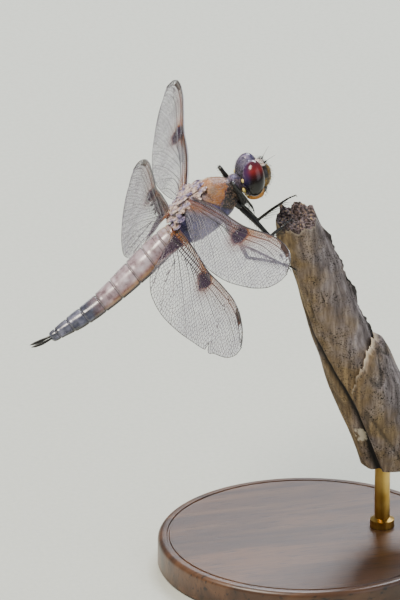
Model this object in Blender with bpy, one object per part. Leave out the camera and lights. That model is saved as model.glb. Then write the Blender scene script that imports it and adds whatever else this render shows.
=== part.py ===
"""Four-spotted chaser dragonfly resting on a broken stem, on a small display stand.

Every length below is in millimetres and every angle in degrees; `mm()` turns them into metres
where a mesh is made. Two frames are used:

* the body frame: +X towards the head along the thorax, +Y to the insect's left, +Z dorsal, with
  its origin midway between the two forewing hinges. Thorax, abdomen and wings are made in it.
* the level frame: the same origin and heading, but with +Z straight up. Head, legs and perch are
  made in it, because the head is held level and the feet have to reach the perch.

The world frame has its origin on the underside of the stand base, in the middle.
"""
import math

import bmesh
import bpy
from mathutils import Matrix, Vector

# ---------------------------------------------------------------- driving dimensions
GAP = 0.12                    # clearance left between neighbouring pieces
BODY_PITCH = 34.6             # head-up slope of the thorax

BASE_RADIUS = 23.0            # round wooden base of the stand
BASE_THICK = 4.5
BASE_EDGE = 0.8
ORIGIN_X = -19.0              # body origin seen from the middle of the base
ORIGIN_Z = 62.5               # ... and its height above the table
ROD_RADIUS = 1.2
ROD_X = 31.3                  # rod axis, level frame
ROD_SLEEVE = 1.9              # radius of the collar on the base

# thorax stations along the body: x, top, bottom, half width
THORAX = ((6.5, -1.7, -4.5, 1.5), (5.6, -0.45, -5.5, 2.4), (4.0, 0.6, -6.2, 3.0),
          (2.0, 1.0, -6.7, 3.3), (0.0, 0.8, -6.9, 3.25), (-2.0, 0.1, -6.8, 3.0),
          (-3.4, -0.8, -6.4, 2.6), (-4.4, -1.7, -5.7, 2.1))
THORAX_SQUARE = 2.35          # exponent of the thorax section, 2 is an ellipse

# abdomen: segment lengths from S1 to S10, and the section at x = depth along the body
ABDOMEN_START = -4.6
SEGMENTS = (0.85, 1.7, 3.1, 3.3, 3.6, 3.15, 3.15, 2.55, 2.3, 1.3)
# x, height of the side keels, half width, roof height over the keels, belly depth under them
ABDOMEN = ((-4.5, -4.0, 1.85, 2.2, 1.1), (-5.6, -4.1, 2.2, 2.3, 1.2), (-7.4, -4.2, 2.45, 2.4, 1.2),
           (-11.0, -4.6, 2.65, 2.4, 1.15), (-14.5, -5.0, 2.5, 2.2, 1.05), (-18.0, -5.3, 2.2, 1.95, 0.95),
           (-21.5, -5.45, 1.9, 1.7, 0.85), (-24.7, -5.3, 1.65, 1.55, 0.8), (-27.2, -5.0, 1.25, 1.2, 0.65),
           (-29.6, -4.75, 0.85, 0.85, 0.5))
CERCUS_PATH = ((-29.75, 0.42, -4.45), (-31.0, 0.62, -4.2), (-32.3, 0.58, -3.5))
CERCUS_RADII = (0.3, 0.27, 0.25)

# wing outlines: (span, chord) with chord forward, hinge at (0, 0)
FORE_LEAD = ((0, 0), (5, 0.65), (10, 0.9), (18.5, 0.4), (26, 0.55), (30, 0), (33, -1.1), (35, -2.7), (36, -4.8))
FORE_TRAIL = ((0, -2.1), (1.2, -3.0), (3.5, -4.0), (7, -5.3), (12, -6.9), (18, -8.0), (24, -8.45), (29, -8.35),
              (33, -7.8), (35.3, -6.4), (36, -4.9))
HIND_LEAD = ((0, 0), (4, 0.4), (9, 0.5), (14.5, 0.2), (20, 0.4), (25, 0.25), (29, -0.5), (32, -1.9),
             (34, -3.7), (34.5, -5.1))
HIND_TRAIL = ((0, -3.0), (0.5, -6.5), (2, -8.7), (5, -10.1), (9, -10.5), (14, -10.2), (20, -9.5),
              (26, -8.8), (30.5, -8.0), (33.5, -6.6), (34.5, -5.2))
FORE_SPAN, HIND_SPAN = 36.0, 34.5
WING_THICK = 0.5
# pose of each wing: hinge x, hinge z, sweep, sweep gained to the tip, droop, droop gained,
# leading edge up, leading edge up gained
WING_POSE = {
    "forewing_left": (0.6, 0.15, 14.0, 9.0, 3.5, -10.0, 11.0, 20.0),
    "forewing_right": (0.6, 0.55, 5.0, 17.5, 1.0, -1.0, 21.0, -10.0),
    "hindwing_left": (-3.3, -0.7, -2.4, 17.0, 12.5, -7.5, 18.0, 14.0),
    "hindwing_right": (-4.0, -1.9, -4.4, 11.5, 12.0, -17.0, 20.0, 16.0),
}
HINGE_Y = 2.0

# head, level frame, measured from the middle of the head
HEAD = (9.83, 0.0, 3.02)
EYE_AT = (-0.05, 2.05, -0.05)
EYE_RADII = (1.75, 1.75, 2.8)
EYE_LEAN = 18.0               # the eyes lean together at the top
CORE_AT, CORE_RADII = (-0.15, 0, -0.75), (1.85, 1.35, 2.7)
FACE_AT, FACE_RADII, FACE_TURN = (1.7, 0, -0.45), (1.6, 1.85, 2.05), 8.0
MOUTH_AT, MOUTH_RADII = (0.75, 0, -3.0), (1.85, 1.9, 1.05)
VERTEX_AT, VERTEX_RADII = (1.35, 0, 1.75), (0.7, 0.62, 0.6)
ANTENNA_PATH = ((2.05, 0.75, 1.75), (2.6, 1.15, 2.4), (3.5, 1.9, 3.3))
# prothorax stations, body frame: x, top, bottom, half width
PROTHORAX = ((6.68, -1.5, -4.6, 1.5), (7.1, -1.25, -4.8, 1.7), (7.7, -1.5, -4.4, 1.5), (8.9, -2.4, -3.7, 0.7))

# legs, level frame, right side: coxa top, hip, knee, ankle, claw tip; `left` changes side
LEGS = {
    "foreleg": ((7.7, -0.5, -0.3), (8.6, -1.75, -1.15), (6.0, -3.3, 3.1), (9.1, -2.9, -1.0), (9.7, -2.5, -2.2)),
    "midleg_right": ((6.8, -0.9, -0.6), (7.9, -1.3, -1.9), (11.7, -4.5, -5.9), (13.85, -3.7, -4.9), (15.4, -3.15, -4.1)),
    "midleg_left": ((6.8, -0.9, -0.6), (7.9, -1.3, -1.9), (11.9, -3.0, -6.1), (16.1, -2.9, -3.35), (17.8, -2.7, -2.55)),
    "hindleg_right": ((4.9, -0.9, -2.6), (6.1, -1.5, -4.1), (8.0, -4.8, -8.8), (14.6, -2.9, -11.4), (16.4, -2.2, -12.7)),
    "hindleg_left": ((4.9, -0.9, -2.6), (6.1, -1.5, -4.1), (8.5, -4.0, -9.6), (14.9, -2.6, -13.0), (16.8, -2.2, -14.3)),
}
FOLD = 0.78                   # the folded foreleg tibia lies this far outside its femur
COXA_R, FEMUR_R, KNEE_R, TIBIA_R, CLAW_R = 0.52, 0.46, 0.34, 0.26, 0.25

# perch: a broken dead stem that leans away below the insect, level frame
PERCH_TOP = (17.1, 0.0, -4.6)
PERCH_LEAN = 20.4
PERCH_CUT_Z = -47.0
PERCH_R_TOP, PERCH_R_LOW = 3.1, 4.4
BARK_FROM, BARK_THICK = 25.0, 0.9          # loose bark sleeve: distance down the stem, thickness
BARK_ARC = (-70.0, 110.0)

COLOURS = {
    "head": (0.30, 0.27, 0.24), "eye": (0.16, 0.05, 0.04), "face": (0.80, 0.58, 0.20),
    "thorax": (0.52, 0.34, 0.20), "abdomen": (0.48, 0.34, 0.27), "tail": (0.20, 0.20, 0.24),
    "wing": (0.70, 0.72, 0.68), "leg": (0.03, 0.03, 0.03), "wood": (0.42, 0.36, 0.30),
    "base": (0.16, 0.10, 0.06), "rod": (0.55, 0.44, 0.22),
}


def mm(*xyz):
    return Vector(xyz) * 0.001


# ---------------------------------------------------------------- helpers
def smooth(points, x):
    """Monotone cubic through (x, y) points given in rising or falling x."""
    pts = sorted(points)
    n = len(pts)
    step = [pts[i + 1][0] - pts[i][0] for i in range(n - 1)]
    rise = [(pts[i + 1][1] - pts[i][1]) / step[i] for i in range(n - 1)]
    slope = [rise[0]] + [0.0] * (n - 2) + [rise[-1]]
    for i in range(1, n - 1):
        if rise[i - 1] * rise[i] > 0:
            slope[i] = 2 / (1 / rise[i - 1] + 1 / rise[i])
    x = min(max(x, pts[0][0]), pts[-1][0])
    i = max(j for j in range(n - 1) if pts[j][0] <= x)
    t = (x - pts[i][0]) / step[i]
    return ((1 + 2 * t) * (1 - t) ** 2 * pts[i][1] + t * (1 - t) ** 2 * step[i] * slope[i]
            + t * t * (3 - 2 * t) * pts[i + 1][1] + t * t * (t - 1) * step[i] * slope[i + 1])


def column(table, k, x):
    return smooth([(row[0], row[k]) for row in table], x)


def material(key):
    found = bpy.data.materials.get(key)
    if found:
        return found
    mat = bpy.data.materials.new(key)
    mat.use_nodes = True
    shader = mat.node_tree.nodes["Principled BSDF"]
    shader.inputs["Base Color"].default_value = (*COLOURS[key], 1)
    shader.inputs["Roughness"].default_value = 0.35 if key in ("eye", "leg", "rod") else 0.6
    shader.inputs["Metallic"].default_value = 1.0 if key == "rod" else 0.0
    return mat


def add_object(name, verts, faces, key, parent):
    bm = bmesh.new()
    made = [bm.verts.new(v) for v in verts]
    for face in faces:
        bm.faces.new([made[i] for i in face])
    bmesh.ops.recalc_face_normals(bm, faces=bm.faces)
    mesh = bpy.data.meshes.new(name)
    bm.to_mesh(mesh)
    bm.free()
    obj = bpy.data.objects.new(name, mesh)
    bpy.context.scene.collection.objects.link(obj)
    obj.parent = parent
    mesh.materials.append(material(key))
    return obj


def loft(rings):
    """Closed skin over rings of equal length, the two ends closed by fans."""
    n = len(rings[0])
    verts = [v for ring in rings for v in ring]
    faces = [(r * n + i, r * n + (i + 1) % n, (r + 1) * n + (i + 1) % n, (r + 1) * n + i)
             for r in range(len(rings) - 1) for i in range(n)]
    for first, ring in ((0, rings[0]), ((len(rings) - 1) * n, rings[-1])):
        verts.append(sum(ring, Vector()) / n)
        faces += [(first + i, first + (i + 1) % n, len(verts) - 1) for i in range(n)]
    return verts, faces


def tube(path, radii, sides=8):
    """Round tube along a path of Vectors, its sections carried along without twist."""
    rings = []
    tangent = (path[1] - path[0]).normalized()
    side = tangent.orthogonal().normalized()
    for i, at in enumerate(path):
        ahead = path[min(i + 1, len(path) - 1)] - path[max(i - 1, 0)]
        turn = tangent.rotation_difference(ahead)
        side = (turn @ side).normalized()
        tangent = ahead.normalized()
        other = tangent.cross(side)
        rings.append([at + radii[i] * (math.cos(a) * side + math.sin(a) * other)
                      for a in (2 * math.pi * k / sides for k in range(sides))])
    return loft(rings)


def ellipsoid(at, radii, turn=Matrix(), grow=0.0, sides=20, rows=12):
    """Ball stretched to three radii, turned by a matrix and grown by a margin."""
    def point(lat, lon):
        unit = Vector((math.cos(lat) * math.cos(lon), math.cos(lat) * math.sin(lon), math.sin(lat)))
        local = Vector([(r + grow) * u for r, u in zip(radii, unit)])
        return (Vector(at) + turn @ local) * 0.001
    rings = [[point(math.pi * (j / rows - 0.5), 2 * math.pi * i / sides) for i in range(sides)]
             for j in range(1, rows)]
    verts, faces = loft(rings)
    verts[-2], verts[-1] = point(-math.pi / 2, 0), point(math.pi / 2, 0)
    return verts, faces


def cut(target, name, shape):
    """Take a hidden cutter out of the target."""
    verts, faces = shape
    cutter = add_object(name, verts, faces, "wood", target.parent)
    cutter.hide_render = True
    cutter.display_type = "WIRE"
    mod = target.modifiers.new("clear " + name, "BOOLEAN")
    mod.operation = "DIFFERENCE"
    mod.solver = "EXACT"
    mod.object = cutter


def mirror(point, side):
    """A point given for the right side (negative Y), placed on the right (-1) or left (+1)."""
    return Vector((point[0], -side * point[1], point[2]))


# ---------------------------------------------------------------- thorax and abdomen
def boxy_ring(x, top, low, half, square, grow=0.0, sides=20):
    ring = []
    for k in range(sides):
        a = 2 * math.pi * k / sides
        c, s = math.cos(a), math.sin(a)
        y = (half + grow) * math.copysign(abs(c) ** (2 / square), c)
        z = ((top - low) / 2 + grow) * math.copysign(abs(s) ** (2 / square), s)
        ring.append(mm(x, y, (top + low) / 2 + z))
    return ring


def thorax_shape(table, square, grow=0.0, rows=12, sides=20):
    first, last = table[0][0] + grow, table[-1][0] - grow
    rings = []
    for j in range(rows + 1):
        x = first + (last - first) * j / rows
        top, low, half = (column(table, k, x) for k in (1, 2, 3))
        rings.append(boxy_ring(x, top, low, half, square, grow, sides))
    return loft(rings)


def abdomen_ring(x, grow=0.0, sides=16):
    """Roof-shaped section: a ridge along the back, sharp side keels and a shallow belly."""
    keel, half, roof, belly = (column(ABDOMEN, k, x) for k in (1, 2, 3, 4))
    ring = []
    for k in range(sides):
        a = 2 * math.pi * k / sides
        c, s = math.cos(a), math.sin(a)
        y = (half + grow) * math.copysign(abs(c) ** 0.8, c)
        z = (roof + grow) * s ** 1.12 if s > 0 else -(belly + grow) * abs(s) ** 0.8
        ring.append(mm(x, y, keel + z))
    return ring


def abdomen_span(first, last, rows, grow=0.0, sides=16):
    return loft([abdomen_ring(first + (last - first) * j / rows, grow, sides) for j in range(rows + 1)])


# ---------------------------------------------------------------- wings
def wing_point(name, span, chord, lift=0.0):
    """Body-frame point of a wing at a span and chord, raised off the plane by `lift`."""
    hinge_x, hinge_z, sweep, sweep_gain, droop, droop_gain, edge_up, edge_gain = WING_POSE[name]
    side = 1 if name.endswith("left") else -1
    t = span / (FORE_SPAN if name.startswith("fore") else HIND_SPAN)
    swept = math.radians(sweep + sweep_gain * t / 2)
    dropped = math.radians(droop + droop_gain * t / 2)
    here, up = math.radians(sweep + sweep_gain * t), math.radians(edge_up + edge_gain * t)
    along = Vector((span * math.sin(swept), span * math.cos(swept) * math.cos(math.radians(droop)),
                    -span * math.sin(dropped)))
    forward = Vector((math.cos(here) * math.cos(up), -math.sin(here) * math.cos(up), math.sin(up)))
    normal = Vector((-math.cos(here) * math.sin(up), math.sin(here) * math.sin(up), math.cos(up)))
    p = Vector((hinge_x, HINGE_Y, hinge_z)) + along + chord * forward + lift * normal
    return mm(p.x, side * p.y, p.z)


def wing_shape(name, rows=18, cols=6):
    fore = name.startswith("fore")
    lead, trail, span = (FORE_LEAD, FORE_TRAIL, FORE_SPAN) if fore else (HIND_LEAD, HIND_TRAIL, HIND_SPAN)
    rings = []
    for j in range(rows + 1):
        s = -0.6 + (span + 0.55) * math.sin(0.5 * math.pi * j / rows) ** 0.9
        front, back = smooth(lead, s), smooth(trail, s)
        chords = [front + (back - front) * i / cols for i in range(cols + 1)]
        rings.append([wing_point(name, s, c, WING_THICK / 2) for c in chords]
                     + [wing_point(name, s, c, -WING_THICK / 2) for c in reversed(chords)])
    return loft(rings)


# ---------------------------------------------------------------- perch
def perch_point(down, angle, radius, lift=0.0):
    """Level-frame point on the stem; angle 0 is the side away from the insect, 90 its left."""
    lean, a = math.radians(PERCH_LEAN), math.radians(angle)
    axis = Vector((math.sin(lean), 0, -math.cos(lean)))
    out = Vector((math.cos(lean), 0, math.sin(lean)))
    p = Vector(PERCH_TOP) + down * axis + radius * (math.cos(a) * out + math.sin(a) * Vector((0, 1, 0)))
    return mm(p.x, p.y, p.z + lift)


PERCH_LENGTH = (PERCH_TOP[2] - PERCH_CUT_Z) / math.cos(math.radians(PERCH_LEAN))


def stem_radius(down, angle):
    a = math.radians(angle)
    taper = PERCH_R_TOP + (PERCH_R_LOW - PERCH_R_TOP) * min(down / 28, 1.1)
    flare = 0.4 * max(0.0, -math.cos(a)) * min(max((down - 3) / 5, 0), 1)
    return (taper + flare) * (1 + 0.035 * math.sin(3 * a + 0.21 * down) + 0.025 * math.sin(5 * a - 0.4 * down))


def cut_length(angle, radius):
    """Distance down the stem at which a line along it meets the level sawn foot."""
    return PERCH_LENGTH + radius * math.cos(math.radians(angle)) * math.tan(math.radians(PERCH_LEAN))


def torn(angle):
    """Height of the broken top above its middle."""
    a = math.radians(angle)
    return 1.2 * math.cos(a - 1.7) - 0.5 + 0.3 * math.sin(3 * a + 0.8) + 0.25 * math.sin(7 * a)


def perch_shape(sides=28, rows=13):
    rings = []
    for j in range(rows + 1):
        ring = []
        for k in range(sides):
            angle = 360 * k / sides
            radius = stem_radius(PERCH_LENGTH * j / rows, angle)
            t = j / rows
            down = -torn(angle) * (1 - t) ** 3 + t * cut_length(angle, radius)
            ring.append(perch_point(down, angle, radius))
        rings.append(ring)
    verts, faces = loft(rings)
    verts[-2] = perch_point(0.9, 0, 0)
    return verts, faces


def bark_shape(sides=12, rows=7):
    """A loose sleeve of bark round the outer side of the lower stem, with a torn rim."""
    rings = []
    for k in range(sides + 1):
        angle = BARK_ARC[0] + (BARK_ARC[1] - BARK_ARC[0]) * k / sides
        rim = BARK_FROM + 0.9 * math.sin(0.11 * angle) + 1.6 * (abs(angle - 10) / 90) ** 2
        inner, outer = [], []
        for j in range(rows + 1):
            t = j / rows
            near = stem_radius(rim + t * (PERCH_LENGTH - rim), angle) + GAP + 0.25
            ends = [rim + t * (cut_length(angle, r) - rim) for r in (near, near + BARK_THICK)]
            inner.append(perch_point(ends[0], angle, near))
            outer.append(perch_point(ends[1], angle, near + BARK_THICK * (1 - 0.4 * (1 - t) ** 4)))
        rings.append(inner + outer[::-1])
    return loft(rings)


# ---------------------------------------------------------------- build
def build_head(level):
    lean = Matrix.Rotation(math.radians(EYE_LEAN), 4, "X")
    nod = Matrix.Rotation(math.radians(-FACE_TURN), 4, "Y")
    at = Vector(HEAD)

    def eye(side, grow=0.0, **fine):
        tilt = lean if side > 0 else lean.inverted()
        return ellipsoid(at + mirror((EYE_AT[0], -EYE_AT[1], EYE_AT[2]), side), EYE_RADII, tilt, grow, **fine)

    def core(grow=0.0):
        return ellipsoid(at + Vector(CORE_AT), CORE_RADII, grow=grow, sides=18, rows=10)

    def face(grow=0.0):
        return ellipsoid(at + Vector(FACE_AT), FACE_RADII, nod, grow, sides=18, rows=10)

    for side, word in ((-1, "right"), (1, "left")):
        ball = add_object("eye_" + word, *eye(side), "eye", level)
        cut(ball, "cutter_core_" + word, core(GAP))
        feeler = [(at + mirror((x, -y, z), side)) * 0.001 for x, y, z in ANTENNA_PATH]
        add_object("antenna_" + word, *tube(feeler, [0.00026] * 3, 6), "leg", level)
    add_object("head", *core(), "head", level)
    front = add_object("face", *face(), "face", level)
    jaws = add_object("mouthparts", *ellipsoid(at + Vector(MOUTH_AT), MOUTH_RADII, sides=18, rows=8), "face", level)
    crest = add_object("vertex", *ellipsoid(at + Vector(VERTEX_AT), VERTEX_RADII, sides=10, rows=6), "head", level)
    for piece in (front, jaws, crest):
        cut(piece, "cutter_core_" + piece.name, core(GAP))
        for side in (-1, 1):
            cut(piece, f"cutter_eye_{side}_{piece.name}", eye(side, GAP))
        if piece is not front:
            cut(piece, "cutter_face_" + piece.name, face(GAP))


def build_body(body, level):
    pitch = Matrix.Rotation(math.radians(-BODY_PITCH), 4, "Y")
    add_object("thorax", *thorax_shape(THORAX, THORAX_SQUARE), "thorax", body)
    collar = add_object("prothorax", *thorax_shape(PROTHORAX, 2.1, rows=6, sides=16), "thorax", body)
    back = pitch.inverted()
    lean = Matrix.Rotation(math.radians(EYE_LEAN), 4, "X")
    core_at = back @ (Vector(HEAD) + Vector(CORE_AT))
    cut(collar, "cutter_core_collar", ellipsoid(core_at, CORE_RADII, back, GAP, 18, 10))
    for side in (-1, 1):
        at = back @ (Vector(HEAD) + mirror((EYE_AT[0], -EYE_AT[1], EYE_AT[2]), side))
        tilt = back @ (lean if side > 0 else lean.inverted())
        cut(collar, f"cutter_eye_{side}_collar", ellipsoid(at, EYE_RADII, tilt, GAP))

    x = ABDOMEN_START
    for i, length in enumerate(SEGMENTS, 1):
        rows = 2 if length < 1.5 else 3
        add_object(f"abdomen_{i:02d}", *abdomen_span(x, x - length + GAP, rows, sides=18),
                   "abdomen" if i < 7 else "tail", body)
        x -= length
    for side, word in ((-1, "right"), (1, "left")):
        path = [mm(px, side * py, pz) for px, py, pz in CERCUS_PATH]
        add_object("cercus_" + word, *tube(path, [r * 0.001 for r in CERCUS_RADII], 7), "leg", body)

    for name in WING_POSE:
        wing = add_object(name, *wing_shape(name), "wing", body)
        cut(wing, "cutter_thorax_" + name, thorax_shape(THORAX, THORAX_SQUARE, GAP))
        if name.startswith("hind"):
            cut(wing, "cutter_abdomen_" + name, abdomen_span(-4.4, -18.0, 7, GAP))
    return pitch


def pull_back(before, joint, after, radius):
    """How far two round limbs stop short of their shared joint so that they only just clear."""
    bend = (joint - before).angle(after - joint)
    return GAP / 2 + radius * math.tan(min(bend, 2.3) / 2)


def limb_shape(start, end, clear, radii):
    along = (end - start).normalized()
    first, last = start + along * clear[0], end - along * clear[1]
    path = [first + (last - first) * t for t in (0, 0.2, 0.85, 1)]
    return tube([p * 0.001 for p in path], [r * 0.001 for r in radii])


def build_legs(level, pitch):
    for key, joints in LEGS.items():
        sides = ((-1, "right"), (1, "left")) if key == "foreleg" else (((-1, "right") if "right" in key
                                                                        else (1, "left")),)
        for side, word in sides:
            name = key.split("_")[0] + "_" + word
            top, hip, knee, ankle, claw = (mirror(p, side) for p in joints)
            bend = knee + Vector((0, side * FOLD, 0)) if key == "foreleg" else knee
            at_hip = pull_back(top, hip, knee, 0.45)
            at_knee = GAP / 2 if key == "foreleg" else pull_back(hip, knee, ankle, KNEE_R)
            at_ankle = pull_back(bend, ankle, claw, TIBIA_R)
            limbs = (("coxa", top, hip, (0, at_hip), (COXA_R, COXA_R, 0.46, 0.42)),
                     ("femur", hip, knee, (at_hip, at_knee), (0.38, FEMUR_R, KNEE_R, KNEE_R)),
                     ("tibia", bend, ankle, (at_knee, at_ankle), (0.3, TIBIA_R, TIBIA_R, TIBIA_R)),
                     ("tarsus", ankle, claw, (at_ankle, 0), (TIBIA_R, CLAW_R, CLAW_R, CLAW_R)))
            for part, start, end, clear, radii in limbs:
                piece = add_object(f"{name}_{part}", *limb_shape(start, end, clear, radii), "leg", level)
                if part == "coxa":
                    verts, faces = thorax_shape(THORAX, THORAX_SQUARE, GAP)
                    cut(piece, "cutter_thorax_" + name, ([pitch @ v for v in verts], faces))


def build_stand(level, world):
    stem = add_object("perch", *perch_shape(), "wood", level)
    add_object("perch_bark", *bark_shape(), "wood", level)
    ring = [(BASE_RADIUS - BASE_EDGE, 0), (BASE_RADIUS, BASE_EDGE), (BASE_RADIUS, BASE_THICK - BASE_EDGE),
            (BASE_RADIUS - BASE_EDGE, BASE_THICK)]
    circle = [2 * math.pi * k / 48 for k in range(48)]
    add_object("stand_base", *loft([[mm(r * math.cos(a), r * math.sin(a), z) for a in circle] for r, z in ring]),
               "base", world)
    foot = ORIGIN_Z + PERCH_CUT_Z - 0.05
    x = ORIGIN_X + ROD_X
    profile = [(ROD_SLEEVE, BASE_THICK + 0.05), (ROD_SLEEVE, BASE_THICK + 1.2), (ROD_RADIUS, BASE_THICK + 1.5),
               (ROD_RADIUS, foot)]
    circle = [2 * math.pi * k / 24 for k in range(24)]
    add_object("stand_rod", *loft([[mm(x + r * math.cos(a), r * math.sin(a), z) for a in circle]
                                   for r, z in profile]), "rod", world)
    return stem


def main():
    for obj in list(bpy.data.objects):
        bpy.data.objects.remove(obj, do_unlink=True)
    level = bpy.data.objects.new("level frame", None)
    level.location = mm(ORIGIN_X, 0, ORIGIN_Z)
    body = bpy.data.objects.new("body frame", None)
    body.parent = level
    body.rotation_euler = (0, -math.radians(BODY_PITCH), 0)
    for empty in (level, body):
        bpy.context.scene.collection.objects.link(empty)
    pitch = build_body(body, level)
    build_head(level)
    build_legs(level, pitch)
    build_stand(level, None)
    bpy.context.view_layer.update()


main()
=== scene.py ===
# %% [markdown]
# # A four-spotted chaser at rest
# A chaser dragonfly clings to the broken top of a dead stem, wings spread and body slanting
# down behind it. This lesson builds its finish over a plain solid model of the same insect: a
# horny skin, glassy wings with their net of veins, hair, bristles, bark and a small stand.
#
# ## The frame
# The solid model is loaded first and measured. Lengths below are millimetres, in one of two
# frames that share an origin midway between the forewing hinges: `level` has +Z straight up,
# and `body` is tilted head-up with the thorax. Both turn a point into world metres.

# %% Load the solids and set the two frames
import math
import random

import bpy
from mathutils import Matrix, Vector, geometry, noise


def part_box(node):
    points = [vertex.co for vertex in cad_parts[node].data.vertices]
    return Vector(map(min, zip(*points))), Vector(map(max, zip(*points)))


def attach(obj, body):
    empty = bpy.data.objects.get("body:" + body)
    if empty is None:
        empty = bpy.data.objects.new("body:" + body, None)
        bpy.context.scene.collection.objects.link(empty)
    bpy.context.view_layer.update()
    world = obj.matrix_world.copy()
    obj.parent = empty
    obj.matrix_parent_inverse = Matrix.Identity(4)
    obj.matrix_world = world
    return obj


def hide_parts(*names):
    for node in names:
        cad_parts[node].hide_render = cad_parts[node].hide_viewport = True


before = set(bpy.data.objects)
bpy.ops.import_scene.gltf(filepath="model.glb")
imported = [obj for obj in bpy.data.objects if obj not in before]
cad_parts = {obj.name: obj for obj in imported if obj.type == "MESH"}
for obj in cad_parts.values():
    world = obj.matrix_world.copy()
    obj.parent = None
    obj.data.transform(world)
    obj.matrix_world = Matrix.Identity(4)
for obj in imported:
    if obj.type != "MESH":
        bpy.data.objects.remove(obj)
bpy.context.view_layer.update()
rng = random.Random(7)
MM = 0.001
ORIGIN = Vector((-0.019, 0, 0.0625))
TILT = Matrix.Rotation(math.radians(-34.6), 3, "Y")
SIDES = ((-1, "right"), (1, "left"))


def level(x, y, z):
    return ORIGIN + Vector((x, y, z)) * MM


def body(x, y, z):
    return ORIGIN + TILT @ Vector((x, y, z)) * MM


# %% [markdown]
# ## Camera, light and floor
# The insect is looked at through a long lens from its right side, a little from behind and
# above. A lens of several hundred millimetres far away keeps the shapes almost parallel. Large
# soft lamps stand in for bright hazy daylight that comes from above and from the left.

# %% Camera
AZIMUTH, ELEVATION, DISTANCE = math.radians(-16), math.radians(22), 1.5
back = Matrix.Rotation(AZIMUTH, 3, "Z") @ Vector((0, -math.cos(ELEVATION), math.sin(ELEVATION)))
right = Vector((math.cos(AZIMUTH), math.sin(AZIMUTH), 0))
up = back.cross(right)
# the view is centred below the wing hinges, where the middle of insect and stem lies
target = ORIGIN + right * 0.00183 - up * 0.01553
camera = bpy.data.objects.new("camera", bpy.data.cameras.new("camera"))
camera.data.lens, camera.data.sensor_width = 591.3, 36.0
camera.data.clip_start = 0.01
camera.matrix_world = (Matrix.Translation(target + back * DISTANCE)
                       @ Matrix((right, up, back)).transposed().to_4x4())
bpy.context.scene.collection.objects.link(camera)
bpy.context.scene.camera = camera
print("camera at", [round(v, 3) for v in camera.matrix_world.translation])


# %% Colours and nodes
def colour(code):
    """sRGB hex to linear colour."""
    parts = [int(code[i:i + 2], 16) / 255 for i in (1, 3, 5)]
    return [p / 12.92 if p <= 0.04045 else ((p + 0.055) / 1.055) ** 2.4 for p in parts] + [1.0]


def add(mat, kind, inputs=(), out=0, stops=(), **settings):
    """Add a node; an input is a value or a socket to link from, stops are a ramp's place: hex."""
    made = mat.node_tree.nodes.new("ShaderNode" + kind)
    for key, value in settings.items():
        setattr(made, key, value)
    for key, value in dict(inputs).items():
        if isinstance(value, bpy.types.NodeSocket):
            mat.node_tree.links.new(value, made.inputs[key])
        else:
            made.inputs[key].default_value = colour(value) if isinstance(value, str) else value
    for i, (place, code) in enumerate(dict(stops).items()):
        ramp = made.color_ramp.elements
        if i >= len(ramp):
            ramp.new(1.0)
        ramp[i].position, ramp[i].color = place, colour(code)
    return made.outputs[out] if made.outputs else made


print("half grey in linear light", round(colour("#808080")[0], 3))


# %% [markdown]
# Every finish here is built in the same order. Object coordinates and the masks on the piece's
# points come first, then patterns, then colours laid one over another like coats of paint, and
# last the fine relief and the shader. A pattern's scale is in lumps per metre, so 1000 draws
# one lump to a millimetre, 2500 the pits of horn and 250 the clouds of a whole wing.


# %% Start, paint and close a material
def new_material(name, *masks):
    """An empty material, the place on the piece, and a socket for each mask on its points."""
    mat = bpy.data.materials.new(name)
    mat.use_nodes = True
    mat.node_tree.nodes.clear()
    where = add(mat, "TexCoord", out=3)
    return mat, where, *[add(mat, "Attribute", out=2, attribute_name=mask) for mask in masks]


def paint(mat, pattern, first, *coats):
    """Lay (mask, colour) coats over a first colour; a dict of stops is a ramp along the pattern."""
    tone = None
    for mask, shade in ((None, first), *coats):
        if isinstance(shade, dict):
            shade = add(mat, "ValToRGB", {"Fac": pattern}, stops=shade)
        if mask is not None:
            shade = add(mat, "Mix", {0: mask, 6: tone, 7: shade}, out=2, data_type="RGBA")
        tone = shade
    return tone


def close_material(mat, tone, surface, *reliefs):
    """Reliefs are (pattern, depth in metres, strength), one on top of another."""
    inputs = {"Base Color": tone, **surface}
    for height, depth, strength in reliefs:
        under = {"Normal": inputs["Normal"]} if "Normal" in inputs else {}
        relief = {"Height": height, "Distance": depth, "Strength": strength, **under}
        inputs["Normal"] = add(mat, "Bump", relief)
    add(mat, "OutputMaterial", {"Surface": add(mat, "BsdfPrincipled", inputs)})


# %% Lamps and floor
def lamp(name, offset, size, power, tint):
    data = bpy.data.lights.new(name, "AREA")
    data.size, data.energy, data.color = size, power, colour(tint)[:3]
    obj = bpy.data.objects.new(name, data)
    obj.matrix_world = (Matrix.Translation(target + offset)
                        @ offset.to_track_quat("Z", "Y").to_matrix().to_4x4())
    bpy.context.scene.collection.objects.link(obj)


def clear_selection():
    if bpy.context.object and bpy.context.object.mode != "OBJECT":
        bpy.ops.object.mode_set(mode="OBJECT")
    bpy.ops.object.select_all(action="DESELECT")


lamp("key", -0.5 * right + 0.3 * back + Vector((0, 0, 0.8)), 0.4, 17, "#fff4e4")
lamp("fill", 0.8 * right + 0.5 * back + Vector((0, 0, 0.3)), 0.8, 3.0, "#eef4ff")
lamp("rim", 0.15 * right - 0.7 * back + Vector((0, 0, 0.9)), 0.4, 9, "#f4f8ff")
world = bpy.data.worlds.new("studio")
world.use_nodes = True
sky = world.node_tree.nodes["Background"].inputs
sky["Color"].default_value, sky["Strength"].default_value = colour("#dfe6ea"), 0.3
bpy.context.scene.world = world
clear_selection()
bpy.ops.mesh.primitive_plane_add(size=8, location=(0, 0, -0.0001))
floor = bpy.context.object
floor.name = "floor"
# matt paper scatters light evenly: soft shadows and no shine
paper, where = new_material("matt studio paper")
grain = add(paper, "TexNoise", {"Vector": where, "Scale": 1200.0})
tone = paint(paper, grain, {0.3: "#c8cdc4", 0.7: "#ced2ca"})
close_material(paper, tone, {"Roughness": 0.85})
floor.data.materials.append(paper)

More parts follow.
